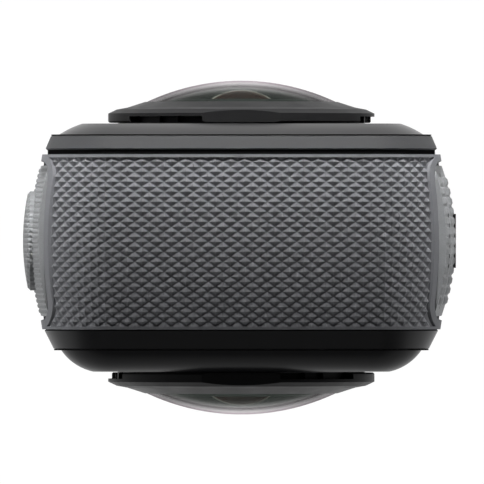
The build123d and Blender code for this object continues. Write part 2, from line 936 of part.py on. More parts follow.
button_foot = half_width + button_travel + stem_gap
stem_end = inner_half_width - stem_gap
switch_front = stem_end - button_travel - stem_free_play
board_front = switch_front - plunger_height - switch_height


def make_button(height, radius, crest):
    """A domed cap with a stem that reaches through the chassis to its switch."""
    dome_edge = radius - button_edge
    dome_curve = (dome_edge**2 + button_dome**2) / (2 * button_dome)
    with BuildPart() as button:
        with BuildSketch(button_plane(height)):
            with BuildLine():
                Polyline(
                    (stem_end, 0),
                    (stem_end, stem_radius),
                    (button_foot, stem_radius),
                    (button_foot, radius),
                    (crest - button_dome - button_edge, radius),
                    (crest - button_dome, dome_edge),
                )
                ThreePointArc(
                    (crest - button_dome, dome_edge),
                    (sphere_height(dome_edge / 2, crest - dome_curve, dome_curve), dome_edge / 2),
                    (crest, 0),
                )
                Line((crest, 0), (stem_end, 0))
            make_face()
        revolve(axis=Axis((0, side_middle, height), (-1, 0, 0)))
    return button


shutter_button = make_button(shutter_height, shutter_radius, shutter_crest)
shutter_button.part.label = "shutter_button"
export_step(shutter_button.part, "parts/shutter_button.step")

mode_button = make_button(mode_height, mode_radius, mode_crest)
mode_button.part.label = "mode_button"
export_step(mode_button.part, "parts/mode_button.step")


# Two small tact switches with round plungers, facing the buttons' stems, on one board
button_heights = (shutter_height, mode_height)

with BuildPart() as button_switches:
    with BuildSketch(sideways(-board_front)):
        for height in button_heights:
            with Locations((side_middle, height)):
                Rectangle(switch_size, switch_size)
    extrude(amount=-switch_height)
    with BuildSketch(sideways(-board_front - switch_height)):
        for height in button_heights:
            with Locations((side_middle, height)):
                Circle(plunger_radius)
    extrude(amount=-plunger_height)
button_switches.part.label = "button_switches"
export_step(button_switches.part, "parts/button_switches.step")

# Button board, held off the chassis's side by two round spacers
board_length = shutter_height - mode_height + 2 * button_board_margin
board_centre_height = (shutter_height + mode_height) / 2
spacer_offset = board_length / 2 - spacer_radius

with BuildPart() as button_board:
    with BuildSketch(sideways(-board_front)):
        with Locations((side_middle, board_centre_height)):
            Rectangle(button_board_width, board_length)
    extrude(amount=button_board_thickness)
    with BuildSketch(sideways(-board_front)):
        for way in (-1, 1):
            for rise in (-1, 1):
                spacer_depth = side_middle + way * (button_board_width / 2 - spacer_radius)
                with Locations((spacer_depth, board_centre_height + rise * spacer_offset)):
                    Circle(spacer_radius)
    extrude(amount=board_front - inner_half_width)
button_board.part.label = "button_board"
export_step(button_board.part, "parts/button_board.step")


# Hinge block: the fixed top end of the right-hand pad, with a round lip and a gap for the knuckle
door_inner = half_width + door_gap
door_split_width = door_inner + door_split
hinge_width = half_width + hinge_reach
knuckle_room = knuckle_radius + 2 * knuckle_gap


with BuildPart() as hinge_block:
    add(pad_blank(door_crest, inner_half_width, hinge_block_bottom, pad_top))
    with BuildSketch(upright(side_middle)):
        with Locations((hinge_width, hinge_height + hinge_round + hinge_swing_room)):
            Rectangle(pad_depth, pad_height, align=(Align.MIN, Align.MAX))
        with Locations((hinge_width, hinge_height)):
            Circle(hinge_round, mode=Mode.SUBTRACT)
    extrude(amount=pad_depth, both=True, mode=Mode.SUBTRACT)
    with BuildSketch(Plane.XY.offset(hinge_block_bottom)):
        with Locations((half_width + pad_depth / 2, side_middle)):
            Rectangle(pad_depth, knuckle_width + 2 * knuckle_gap)
    extrude(amount=hinge_height + knuckle_room - hinge_block_bottom, mode=Mode.SUBTRACT)
    with BuildSketch(upright(side_middle)):
        with Locations((hinge_width, hinge_height)):
            Circle(hinge_pin_radius)
    extrude(amount=hinge_pin_length / 2, both=True, mode=Mode.SUBTRACT)
hinge_block.part.label = "hinge_block"
export_step(hinge_block.part, "parts/hinge_block.step")

with BuildPart() as hinge_pin:
    with BuildSketch(upright(side_middle)):
        with Locations((hinge_width, hinge_height)):
            Circle(hinge_pin_radius)
    extrude(amount=hinge_pin_length / 2, both=True)
hinge_pin.part.label = "hinge_pin"
export_step(hinge_pin.part, "parts/hinge_pin.step")


# Door panel, with its knuckle at the top and a slot for the latch's stem
latch_middle = latch_bottom + latch_height / 2
stem_slot_height = latch_stem_height + latch_travel + 2 * latch_gap
stem_slot_middle = latch_middle + latch_travel / 2


def stem_slot():
    """Draws the slot that the latch's stem slides in."""
    with Locations((side_middle, stem_slot_middle)):
        Rectangle(latch_stem_width + 2 * latch_gap, stem_slot_height)


def hinge_hollow():
    """Draws the room that the round hinge block takes out of the door's top edge."""
    with Locations((hinge_width, hinge_height)):
        Circle(hinge_round + hinge_part_gap)
        Rectangle(pad_depth, pad_height, align=(Align.CENTER, Align.MIN))
    with Locations((hinge_width, door_top)):
        Rectangle(pad_depth, pad_height, align=(Align.MAX, Align.MIN))


with BuildPart() as door_panel:
    with BuildSketch(sideways(door_inner)):
        pad_outline(0)
    extrude(amount=door_split)
    with BuildSketch(upright(side_middle)):
        hinge_hollow()
    extrude(amount=pad_depth, both=True, mode=Mode.SUBTRACT)
    with BuildSketch(upright(side_middle)):
        with BuildLine():
            Polyline(
                (hinge_width - knuckle_radius, hinge_height),
                (hinge_width - knuckle_radius, door_top - pad_corner),
                (hinge_width + knuckle_web, door_top - pad_corner),
                (hinge_width + knuckle_web, hinge_height),
                close=True,
            )
        make_face()
        with Locations((hinge_width, hinge_height)):
            Circle(knuckle_radius)
    extrude(amount=knuckle_width / 2, both=True)
    with BuildSketch(upright(side_middle)):
        with Locations((hinge_width, hinge_height)):
            Circle(hinge_pin_radius + hinge_pin_gap)
    extrude(amount=knuckle_width, both=True, mode=Mode.SUBTRACT)
    with BuildSketch(sideways(door_inner)):
        stem_slot()
    extrude(amount=door_split, mode=Mode.SUBTRACT)
door_panel.part.label = "door_panel"
export_step(door_panel.part, "parts/door_panel.step")

# Door grip: the textured outer skin of the door, with the recess that the latch slides in
latch_floor = door_crest - latch_sink
latch_face = latch_floor + latch_thickness

with BuildPart() as door_grip:
    add(pad_blank(door_crest, door_split_width, pad_bottom, hinge_height))
    with BuildSketch(upright(side_middle)):
        hinge_hollow()
    extrude(amount=pad_depth, both=True, mode=Mode.SUBTRACT)
    with BuildSketch(upright(side_middle)):
        with Locations((hinge_width + knuckle_web, door_top)):
            Rectangle(pad_depth, 2 * pad_corner, align=(Align.MAX, Align.CENTER))
    extrude(amount=knuckle_width / 2, both=True, mode=Mode.SUBTRACT)
    with BuildSketch(sideways(latch_floor)):
        with Locations((side_middle, stem_slot_middle)):
            Rectangle(latch_width + 2 * latch_gap, latch_height + latch_travel + 2 * latch_gap)
    extrude(amount=pad_depth, mode=Mode.SUBTRACT)
    with BuildSketch(sideways(door_split_width)):
        stem_slot()
    extrude(amount=pad_depth, mode=Mode.SUBTRACT)
door_grip.part.label = "door_grip"
export_step(door_grip.part, "parts/door_grip.step")

# Door seal: a rubber frame on the panel's inner face, inside the chassis's opening
with BuildPart() as door_seal:
    with BuildSketch(sideways(door_inner)):
        opening_outline(door_seal_gap)
        opening_outline(door_seal_gap + door_seal_width, Mode.SUBTRACT)
    extrude(amount=-door_gap - door_seal_entry)
door_seal.part.label = "door_seal"
export_step(door_seal.part, "parts/door_seal.step")

# Door latch: a ribbed slider whose stem passes through the door to a tongue behind its lower edge
tongue_face = half_width - door_seal_entry - latch_gap
tongue_tip = opening_bottom - latch_hold_depth
stem_top = latch_middle + latch_stem_height / 2

with BuildPart() as door_latch:
    with BuildSketch(sideways(latch_floor)):
        with Locations((side_middle, latch_middle)):
            Rectangle(latch_width, latch_height)
    extrude(amount=latch_thickness)
    with BuildSketch(sideways(latch_face)):
        with Locations((side_middle, latch_middle)):
            with GridLocations(0, latch_ridge_pitch, 1, latch_ridges):
                Rectangle(latch_width - 2 * latch_ridge_width, latch_ridge_width)
    extrude(amount=latch_ridge_height)
    with BuildSketch(sideways(latch_floor)):
        with Locations((side_middle, latch_middle)):
            Rectangle(latch_stem_width, latch_stem_height)
    extrude(amount=tongue_face - latch_tongue_thickness - latch_floor)
    with BuildSketch(sideways(tongue_face)):
        with Locations((side_middle, tongue_tip)):
            Rectangle(latch_stem_width, stem_top - tongue_tip, align=(Align.CENTER, Align.MIN))
    extrude(amount=-latch_tongue_thickness)
door_latch.part.label = "door_latch"
export_step(door_latch.part, "parts/door_latch.step")


# Battery bay: a sleeve behind the lower half of the opening, closed at its far end
bay_middle = opening_bottom + bay_height / 2
bay_end = inner_half_width - bay_length


def bay_outline(inset):
    """Draws the battery's section, this much inside the bay's inner wall."""
    with Locations((side_middle, bay_middle)):
        RectangleRounded(opening_width - 2 * inset, bay_height - 2 * inset, opening_corner - inset)


with BuildPart() as battery_bay:
    with BuildSketch(sideways(bay_end)):
        bay_outline(-bay_wall)
    extrude(amount=bay_length)
    with BuildSketch(sideways(bay_end + bay_wall)):
        bay_outline(0)
    extrude(amount=bay_length, mode=Mode.SUBTRACT)
battery_bay.part.label = "battery_bay"
export_step(battery_bay.part, "parts/battery_bay.step")

# Battery contacts, sprung off the bay's closed end
with BuildPart() as battery_contacts:
    with BuildSketch(sideways(bay_end + bay_wall)):
        with Locations((side_middle, bay_middle)):
            with GridLocations(contact_pitch, 0, contact_count, 1):
                Rectangle(contact_width, contact_height)
    extrude(amount=contact_depth)
battery_contacts.part.label = "battery_contacts"
export_step(battery_contacts.part, "parts/battery_contacts.step")

# Battery
with BuildPart() as battery:
    with BuildSketch(sideways(bay_end + bay_wall + contact_depth)):
        bay_outline(battery_gap)
    extrude(amount=bay_length - bay_wall - contact_depth - battery_end_recess)
battery.part.label = "battery"
export_step(battery.part, "parts/battery.step")


# Port panel: closes the upper half of the opening round the socket and the card slot
port_panel_bottom = opening_bottom + bay_height + bay_wall
port_panel_height = opening_top - port_panel_bottom
port_panel_middle = port_panel_bottom + port_panel_height / 2
panel_back = inner_half_width - port_panel_thickness
usb_middle = port_board_height - usb_height / 2
card_cage_height = card_thickness + 2 * card_cage_wall
card_middle = port_board_height + port_board_thickness + card_cage_height / 2

with BuildPart() as port_panel:
    with BuildSketch(sideways(panel_back)):
        with Locations((side_middle, port_panel_middle)):
            Rectangle(opening_width, port_panel_height)
        with Locations((side_middle, usb_middle)):
            SlotOverall(usb_width + 2 * port_gap, usb_height + 2 * port_gap, mode=Mode.SUBTRACT)
        with Locations((side_middle, card_middle)):
            Rectangle(card_cage_width + 2 * port_gap, card_cage_height + 2 * port_gap, mode=Mode.SUBTRACT)
    extrude(amount=port_panel_thickness)
port_panel.part.label = "port_panel"
export_step(port_panel.part, "parts/port_panel.step")

# Port board
with BuildPart() as port_board:
    with BuildSketch(Plane.XY.offset(port_board_height)):
        with Locations(((port_board_start + panel_back) / 2, side_middle)):
            Rectangle(panel_back - port_board_start, opening_width - 2 * port_board_inset)
    extrude(amount=port_board_thickness)
port_board.part.label = "port_board"
export_step(port_board.part, "parts/port_board.step")

# Socket under the port board, with its tongue
with BuildPart() as usb_c_port:
    with BuildSketch(sideways(inner_half_width)):
        with Locations((side_middle, usb_middle)):
            SlotOverall(usb_width, usb_height)
    extrude(amount=-usb_length)
    with BuildSketch(sideways(inner_half_width)):
        with Locations((side_middle, usb_middle)):
            SlotOverall(usb_width - 2 * usb_shell, usb_height - 2 * usb_shell)
            Rectangle(usb_tongue_width, usb_tongue_thickness, mode=Mode.SUBTRACT)
    extrude(amount=usb_shell - usb_length, mode=Mode.SUBTRACT)
usb_c_port.part.label = "usb_c_port"
export_step(usb_c_port.part, "parts/usb_c_port.step")

# Card cage on the port board, and the memory card in it
with BuildPart() as card_slot:
    with BuildSketch(sideways(inner_half_width)):
        with Locations((side_middle, card_middle)):
            Rectangle(card_cage_width, card_cage_height)
            Rectangle(card_width + 2 * port_gap, card_thickness, mode=Mode.SUBTRACT)
    extrude(amount=-card_cage_length)
card_slot.part.label = "card_slot"
export_step(card_slot.part, "parts/card_slot.step")

with BuildPart() as memory_card:
    with BuildSketch(sideways(inner_half_width + card_proud)):
        with Locations((side_middle, card_middle)):
            Rectangle(card_width, card_thickness)
    extrude(amount=-card_length)
memory_card.part.label = "memory_card"
export_step(memory_card.part, "parts/memory_card.step")


# Main board, between the chassis's sides, with the chips that press on the heat plate
board_height = body_middle + chassis_height / 2 - chassis_wall - board_top_margin - board_bottom
board_room_radius = barrel_radius + board_hole_gap


def standing_board(y, thickness):
    """A flat plate inside the chassis, from depth y towards the front, with room for the lens barrel."""
    with BuildPart() as board:
        with BuildSketch(upright(y)):
            with Locations((0, board_bottom)):
                Rectangle(2 * inner_half_width, board_height, align=(Align.CENTER, Align.MIN))
        extrude(amount=thickness)
        with BuildSketch(upright(y)):
            body_outline(-chassis_wall)
        extrude(amount=thickness, mode=Mode.INTERSECT)
        with BuildSketch(upright(y)):
            with Locations((0, lens_height)):
                Circle(board_room_radius)
        extrude(amount=thickness, mode=Mode.SUBTRACT)
    return board.part


board_front_depth = board_back - board_thickness
chip_middle = board_bottom + chip_size / 2

with BuildPart() as main_board:
    add(standing_board(board_back, board_thickness))
    with BuildSketch(upright(board_front_depth)):
        with Locations((-chip_size, chip_middle), (chip_size, chip_middle)):
            Rectangle(chip_size, chip_size)
        with Locations((0, chip_middle)):
            Rectangle(small_chip_size, small_chip_size)
    extrude(amount=chip_rise)
main_board.part.label = "main_board"
export_step(main_board.part, "parts/main_board.step")

with BuildPart() as heat_plate:
    add(standing_board(board_front_depth - chip_rise, heat_plate_thickness))
heat_plate.part.label = "heat_plate"
export_step(heat_plate.part, "parts/heat_plate.step")

# Speaker behind its grille in the front cover
with BuildPart() as speaker:
    with BuildSketch(upright(front_skin_back)):
        with Locations((speaker_middle, grille_height)):
            Rectangle(speaker_width, speaker_height)
    extrude(amount=-speaker_depth)
speaker.part.label = "speaker"
export_step(speaker.part, "parts/speaker.step")

# Position antenna under the chassis's top wall
with BuildPart() as gps_antenna:
    with BuildSketch(Plane.XY.offset(chassis_top - chassis_wall)):
        with Locations((0, side_middle)):
            Rectangle(antenna_size, antenna_size)
    extrude(amount=-antenna_thickness)
gps_antenna.part.label = "gps_antenna"
export_step(gps_antenna.part, "parts/gps_antenna.step")

# Microphones: one can behind each small hole in the covers
with BuildPart() as microphones:
    with BuildSketch(upright(front_skin_back)):
        with Locations((-microphone_side, microphone_height), (microphone_side, microphone_height)):
            Rectangle(microphone_can_width, microphone_can_width)
    extrude(amount=-microphone_can_depth)
    with BuildSketch(upright(back_skin_front)):
        with Locations((-microphone_side, microphone_height), (microphone_side, microphone_height)):
            Rectangle(microphone_can_width, microphone_can_width)
    extrude(amount=microphone_can_depth)
microphones.part.label = "microphones"
export_step(microphones.part, "parts/microphones.step")

# Status lights: a clear pipe through each cover, with a collar behind it
with BuildPart() as status_lights:
    with BuildSketch(upright(front_face)):
        with Locations((light_side, light_height)):
            Circle(light_radius)
    extrude(amount=-cover_skin)
    with BuildSketch(upright(front_skin_back)):
        with Locations((light_side, light_height)):
            Circle(light_radius + light_collar)
    extrude(amount=-light_collar_depth)
    with BuildSketch(upright(back_face)):
        with Locations((-back_light_side, back_light_height)):
            Circle(light_radius)
    extrude(amount=cover_skin)
    with BuildSketch(upright(back_skin_front)):
        with Locations((-back_light_side, back_light_height)):
            Circle(light_radius + light_collar)
    extrude(amount=light_collar_depth)
status_lights.part.label = "status_lights"
export_step(status_lights.part, "parts/status_lights.step")


# Mounting base: a rounded foot with a pocket for the folded fingers and a boss for the tripod thread
finger_pin_width = (finger_gap + finger_thickness) / 2
finger_pin_height = finger_lift + finger_thickness / 2
boss_bottom = finger_lift
arm_inner = boss_radius + boss_gap
finger_pin_end = finger_width / 2 + pocket_gap + finger_pin_grip

with BuildPart() as mount_base:
    with BuildSketch(Plane.XY):
        with Locations((0, side_middle)):
            SlotCenterToCenter(2 * base_middle_distance, 2 * base_radius)
    extrude(amount=base_height)
    chamfer(mount_base.faces().sort_by(Axis.Z)[0].edges(), base_edge)
    with BuildSketch(Plane.XY):
        with Locations((0, side_middle)):
            SlotCenterToCenter(2 * base_middle_distance, 2 * pocket_radius)
            Circle(boss_radius, mode=Mode.SUBTRACT)
    extrude(amount=pocket_depth, mode=Mode.SUBTRACT)
    with BuildSketch(Plane.XY):
        with Locations((0, side_middle)):
            Circle(boss_radius)
    extrude(amount=boss_bottom, mode=Mode.SUBTRACT)
    with BuildSketch(Plane.XY):
        with Locations((0, side_middle)):
            Circle(insert_radius)
    extrude(amount=boss_bottom + insert_length, mode=Mode.SUBTRACT)
    with BuildSketch(upright(side_middle)):
        with Locations((-finger_pin_width, finger_pin_height), (finger_pin_width, finger_pin_height)):
            Circle(finger_pin_radius)
    extrude(amount=finger_pin_end, both=True, mode=Mode.SUBTRACT)
    with BuildSketch(Plane.XY.offset(pocket_depth)):
        with Locations((0, side_middle)):
            with GridLocations(2 * base_middle_distance, 2 * screw_place, 2, 2):
                Circle(screw_head_radius)
    extrude(amount=screw_head_height, mode=Mode.SUBTRACT)
    with BuildSketch(Plane.XY.offset(pocket_depth + screw_head_height)):
        with Locations((0, side_middle)):
            with GridLocations(2 * base_middle_distance, 2 * screw_place, 2, 2):
                Circle(screw_shank_radius)
    extrude(amount=base_height, mode=Mode.SUBTRACT)
mount_base.part.label = "mount_base"
export_step(mount_base.part, "parts/mount_base.step")

# Screws that hold the base to the chassis, up inside the finger pocket
with BuildPart() as base_screws:
    with BuildSketch(Plane.XY.offset(pocket_depth)):
        with Locations((0, side_middle)):
            with GridLocations(2 * base_middle_distance, 2 * screw_place, 2, 2):
                Circle(screw_head_radius)
    extrude(amount=screw_head_height)
    with BuildSketch(Plane.XY.offset(pocket_depth + screw_head_height)):
        with Locations((0, side_middle)):
            with GridLocations(2 * base_middle_distance, 2 * screw_place, 2, 2):
                Circle(screw_shank_radius)
    extrude(amount=base_height + screw_bite - pocket_depth - screw_head_height)
base_screws.part.label = "base_screws"
export_step(base_screws.part, "parts/base_screws.step")

# Tripod thread insert
with BuildPart() as thread_insert:
    with BuildSketch(Plane.XY.offset(boss_bottom)):
        with Locations((0, side_middle)):
            Circle(insert_radius)
            Circle(thread_radius, mode=Mode.SUBTRACT)
    extrude(amount=insert_length)
thread_insert.part.label = "thread_insert"
export_step(thread_insert.part, "parts/thread_insert.step")

# Folding fingers: flat plates with a round end and a screw hole, on two knuckles beside the thread
for side, way in (("left", -1), ("right", 1)):
    with BuildPart() as finger:
        with BuildSketch(Plane.XY.offset(finger_lift)):
            with Locations((way * base_middle_distance / 2, side_middle)):
                Rectangle(base_middle_distance, finger_width)
            with Locations((way * base_middle_distance, side_middle)):
                Circle(finger_width / 2)
                Circle(finger_hole_radius, mode=Mode.SUBTRACT)
            with Locations((way * (boss_radius + boss_finger_gap) / 2, side_middle)):
                Rectangle(boss_radius + boss_finger_gap, 2 * arm_inner, mode=Mode.SUBTRACT)
        extrude(amount=finger_thickness)
        with BuildSketch(upright(side_middle)):
            with Locations((way * (finger_pin_width + base_middle_distance), finger_pin_height)):
                Rectangle(2 * base_middle_distance, finger_thickness)
            with Locations((way * finger_pin_width, finger_pin_height)):
                Circle(finger_thickness / 2)
        extrude(amount=finger_width, both=True, mode=Mode.INTERSECT)
        with BuildSketch(upright(side_middle)):
            with Locations((way * finger_pin_width, finger_pin_height)):
                Circle(finger_pin_radius + finger_pin_gap)
        extrude(amount=finger_width, both=True, mode=Mode.SUBTRACT)
    finger.part.label = f"{side}_finger"
    export_step(finger.part, f"parts/{side}_finger.step")

# Finger pins: a short pin for each of the four knuckles
pin_length = finger_pin_end - arm_inner

with BuildPart() as finger_pins:
    for way in (-1, 1):
        with BuildSketch(upright(side_middle + way * arm_inner)):
            with Locations((-finger_pin_width, finger_pin_height), (finger_pin_width, finger_pin_height)):
                Circle(finger_pin_radius)
        extrude(amount=-way * pin_length)
finger_pins.part.label = "finger_pins"
export_step(finger_pins.part, "parts/finger_pins.step")
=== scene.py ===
import math

import bpy
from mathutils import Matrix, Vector


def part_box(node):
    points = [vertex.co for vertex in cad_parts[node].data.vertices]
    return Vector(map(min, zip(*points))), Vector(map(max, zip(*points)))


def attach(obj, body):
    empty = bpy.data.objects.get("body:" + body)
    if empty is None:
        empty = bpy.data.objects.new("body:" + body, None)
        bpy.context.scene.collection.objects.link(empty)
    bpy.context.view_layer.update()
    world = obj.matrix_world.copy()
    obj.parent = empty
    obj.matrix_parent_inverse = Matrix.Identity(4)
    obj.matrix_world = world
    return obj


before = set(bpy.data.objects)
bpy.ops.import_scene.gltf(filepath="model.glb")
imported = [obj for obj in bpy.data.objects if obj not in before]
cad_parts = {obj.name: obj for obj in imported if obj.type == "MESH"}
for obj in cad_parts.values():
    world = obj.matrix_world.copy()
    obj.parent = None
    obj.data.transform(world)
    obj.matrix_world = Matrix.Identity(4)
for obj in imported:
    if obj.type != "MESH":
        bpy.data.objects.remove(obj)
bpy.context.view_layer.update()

latch_low, latch_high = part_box("door_latch")
MM = 0.001

# Body: the outline of the chassis that the grip band follows, and the band's barrel form
HALF_WIDTH = 27.0 * MM
CORNER = 8.2 * MM
BODY_TOP = 66.5 * MM
BODY_BOTTOM = 4.0 * MM
BAND_MIDDLE = 0.9 * MM
BAND_HALF_DEPTH = 12.8 * MM
BAND_CREST = 2.8 * MM
BAND_SAG = 1.05 * MM
SIDE_MIDDLE = 1.05 * MM

# Studs on the band: rows of low four-sided pyramids, every second row half a pitch on
STUD_HEIGHT = 0.4 * MM
STUD_PITCH_Y = 1.455 * MM
STUD_COLUMNS = 110
STUD_SHIFT_S = 0.546 * MM
STUD_SHIFT_Y = 0.028 * MM
STUD_GAP = 0.025 * MM
STUD_SINK = 0.05 * MM
STUD_CAP_SHARE = 0.06
STUD_LEAST_SHARE = 0.25
EDGE_RIM = 0.45 * MM

# Pads: windows, curved surfaces and their own square studs
WINDOW_HALF_DEPTH = 12.75 * MM
WINDOW_BOTTOM = 11.3 * MM
WINDOW_TOP = 64.7 * MM
WINDOW_CORNER = 3.9 * MM
PAD_HALF_DEPTH = 11.05 * MM
PAD_BOTTOM = 13.0 * MM
PAD_TOP = 63.0 * MM
PAD_EDGE = 29.6 * MM
PAD_CREST_HEIGHT = 30.0 * MM
PAD_CURVE = 363.0 * MM
PAD_MARGIN = 0.15 * MM
PAD_CORNER = 1.9 * MM
PAD_CAP_SHARE = 0.42
FINE_STUD_HEIGHT = 0.14 * MM
FINE_STUD_PITCH = 0.74 * MM
FINE_STUD_BUMP = 0.6

# Button side
BUTTON_CREST = 31.15 * MM
SHUTTER_HEIGHT = 42.0 * MM
SHUTTER_RADIUS = 7.4 * MM
MODE_HEIGHT = 25.5 * MM
MODE_RADIUS = 3.5 * MM

# Door side: the door's studs end below the hinge, and those of the hinge block start above it
DOOR_CREST = 31.45 * MM
DOOR_STUD_HEIGHT = 0.22 * MM
DOOR_STUD_PITCH = 1.46 * MM
DOOR_STUDS_TOP = 52.4 * MM
HINGE_STUDS_BOTTOM = 56.9 * MM
LATCH_RECESS_BOTTOM = 17.3 * MM
LATCH_RECESS_TOP = 24.7 * MM
LATCH_MARGIN = 0.3 * MM

# Base window and the tripod thread in it
BASE_REACH = 12.5 * MM
BASE_RADIUS = 9.3 * MM
THREAD_RADIUS = 3.175 * MM
THREAD_TURN = 1.27 * MM
THREAD_LENGTH = 6.0 * MM
THREAD_START = 0.4 * MM
THREAD_DEPTH = 0.35 * MM
THREAD_HALF_WIDTH = 0.3 * MM
THREAD_SINK = 0.05 * MM
THREAD_END_SINK = 0.04 * MM
THREAD_STEPS = 40

# Seams between each bezel and its cover
SEAM_WIDTH = 0.12 * MM
SEAM_PROUD = 0.03 * MM
SEAM_SINK = 0.15 * MM
SEAM_STEPS = 16
BACK_SEAM_Y = 16.55 * MM
BACK_SEAM_REACH = 0.8 * MM
FRONT_SEAM_Y = -14.9 * MM
FRONT_SEAM_REACH = 0.4 * MM

# Material detail: noise scales per metre, the span of noise that shows as scuffs, and the sheen of a coat
BROAD_SHARE = 14
COLOUR_SPAN = (0.3, 0.7)
SCUFF_GRAIN = 420.0
SCUFF_SPAN = (0.62, 0.74)
SMEAR_GRAIN = 160.0
SMEAR_SPAN = (0.45, 1.0)
SMEAR_SPREAD = 0.05
COAT_ROUGHNESS = 0.08

# Lens glass: where a painted shade deepens its tint downwards, and how far from the middle a painted shade starts
# and ends fading its film towards the sides
LENS_HEIGHT = 42.5 * MM
PAINTED_SHADE_BLEND = 1.0 * MM
PAINTED_FADE_INNER = 2.0 * MM
PAINTED_FADE_OUTER = 11.0 * MM

# Studio: its floor, and how far up its pale walls reach, as the sine of the angle
FLOOR_REACH = 6.0
FLOOR_DROP = 0.2 * MM
FLOOR_GREY = 0.2
FLOOR_GLOW = 1.08
FLOOR_GLOW_SHARE = 0.93
WORLD_STRENGTH = 0.035
CEILING = 0.2

# Lamps, in metres and watts; a lamp that isn't mirrored lights matt surfaces only
LAMP_AIM = (0, 0, 0.05)
LAMPS = {
    "key": dict(place=(0, 0.279, 0.213), aim=(0, 0.025, 0.066), size=(0.6, 0.018), power=0.13, spread=8.5),
    "fill": dict(place=(0, -0.65, 0.36), size=(0.5, 0.2), power=0.2),
    "left_rim": dict(place=(-0.6, 0, 0.14), size=(0.7, 0.26), power=3.1, mirrored=False),
    "right_rim": dict(place=(0.6, 0, 0.14), size=(0.7, 0.26), power=1.9, mirrored=False),
}

# View: straight down from far off, as in the photograph; the field is as wide as this at its height
FIELD = 71.3 * MM
FIELD_HEIGHT = 40.0 * MM
LENS = 1500.0
SENSOR = 36.0
VIEW_X = 0.1 * MM
VIEW_Y = 0.88 * MM
CLIP_NEAR = 0.1
CLIP_FAR = 20.0


# Surfaces that the added pieces follow

def bow(y, middle, half, sag):
    """How far a circular bow of this sag has fallen at y, and its slope there."""
    radius = (half * half + sag * sag) / (2 * sag)
    offset = y - middle
    height = math.sqrt(radius * radius - offset * offset)
    return radius - height, offset / height


def band_surface(s, y):
    """Point and outward normal on the grip band, s round the loop from the top and y in depth."""
    radius = CORNER + BAND_CREST
    top = HALF_WIDTH - CORNER
    arc = radius * math.pi / 2
    side = BODY_TOP - BODY_BOTTOM - 2 * CORNER
    half = 2 * top + 2 * arc + side
    s = (s + half) % (2 * half) - half
    sign = 1 if s >= 0 else -1
    run = abs(s)
    if run <= top:
        x, z, turn = run, BODY_TOP - CORNER, 0.0
    elif run <= top + arc:
        x, z, turn = top, BODY_TOP - CORNER, (run - top) / radius
    elif run <= top + arc + side:
        x, z, turn = top, BODY_TOP - CORNER - (run - top - arc), math.pi / 2
    elif run <= top + 2 * arc + side:
        x, z, turn = top, BODY_BOTTOM + CORNER, math.pi / 2 + (run - top - arc - side) / radius
    else:
        x, z, turn = half - run, BODY_BOTTOM + CORNER, math.pi
    fall, slope = bow(y, BAND_MIDDLE, BAND_HALF_DEPTH, BAND_SAG)
    reach = CORNER + BAND_CREST - fall
    out_x, out_z = math.sin(turn), math.cos(turn)
    point = Vector((sign * (x + out_x * reach), y, z + out_z * reach))
    normal = Vector((sign * out_x, slope, out_z)).normalized()
    return point, normal


def band_length():
    """Length of the loop at the crest of the band."""
    side = BODY_TOP - BODY_BOTTOM - 2 * CORNER
    return 4 * (HALF_WIDTH - CORNER) + 2 * math.pi * (CORNER + BAND_CREST) + 2 * side


def pad_surface(crest, sign):
    """The double-curved face of a side pad, as a function of height z and depth y."""
    centre = crest - PAD_CURVE

    def surface(z, y):
        fall, slope = bow(y, SIDE_MIDDLE, PAD_HALF_DEPTH, crest - PAD_EDGE)
        radius = crest - fall - centre
        rise = z - PAD_CREST_HEIGHT
        across = math.sqrt(radius * radius - rise * rise)
        point = Vector((sign * (centre + across), y, z))
        normal = Vector((sign, slope * radius / across, rise / across)).normalized()
        return point, normal

    return surface


def in_rounded_box(u, v, low, high, corner):
    """Whether (u, v) is inside a rounded rectangle."""
    du = max(low[0] + corner - u, u - high[0] + corner, 0)
    dv = max(low[1] + corner - v, v - high[1] + corner, 0)
    inside = low[0] < u < high[0] and low[1] < v < high[1]
    return inside and math.hypot(du, dv) <= corner


def in_window(y, z):
    """Whether (y, z) is inside a pad's window in the band."""
    low = (SIDE_MIDDLE - WINDOW_HALF_DEPTH, WINDOW_BOTTOM)
    high = (SIDE_MIDDLE + WINDOW_HALF_DEPTH, WINDOW_TOP)
    return in_rounded_box(y, z, low, high, WINDOW_CORNER)


def in_pad(y, z):
    """Whether (y, z) is on a pad, a margin inside its edge."""
    low = (SIDE_MIDDLE - PAD_HALF_DEPTH + PAD_MARGIN, PAD_BOTTOM + PAD_MARGIN)
    high = (SIDE_MIDDLE + PAD_HALF_DEPTH - PAD_MARGIN, PAD_TOP - PAD_MARGIN)
    return in_rounded_box(y, z, low, high, PAD_CORNER)


def in_base(x, y):
    """Whether (x, y) is inside the base's slot-shaped window."""
    across = max(abs(x) - BASE_REACH, 0)
    return math.hypot(across, y - SIDE_MIDDLE) < BASE_RADIUS


def near_buttons(y, z):
    """Whether a place on the left pad is under a button or its smooth collar."""
    away = y - SIDE_MIDDLE
    at_shutter = math.hypot(away, z - SHUTTER_HEIGHT) < SHUTTER_RADIUS
    at_mode = math.hypot(away, z - MODE_HEIGHT) < MODE_RADIUS
    return at_shutter or at_mode


def near_latch(y, z):
    """Whether a place on the door is in the latch's recess."""
    beside = abs(y - SIDE_MIDDLE) < (latch_high.y - latch_low.y) / 2 + LATCH_MARGIN
    return beside and LATCH_RECESS_BOTTOM - LATCH_MARGIN < z < LATCH_RECESS_TOP + LATCH_MARGIN


def nowhere(y, z):
    """No place is left out."""
    return False


# Added pieces

def mesh_object(name, points, faces, body):
    """A new piece of the object from closed mesh data."""
    mesh = bpy.data.meshes.new(name)
    mesh.from_pydata(points, [], faces)
    mesh.validate()
    mesh.update()
    made = bpy.data.objects.new(name, mesh)
    bpy.context.scene.collection.objects.link(made)
    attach(made, body)
    return made


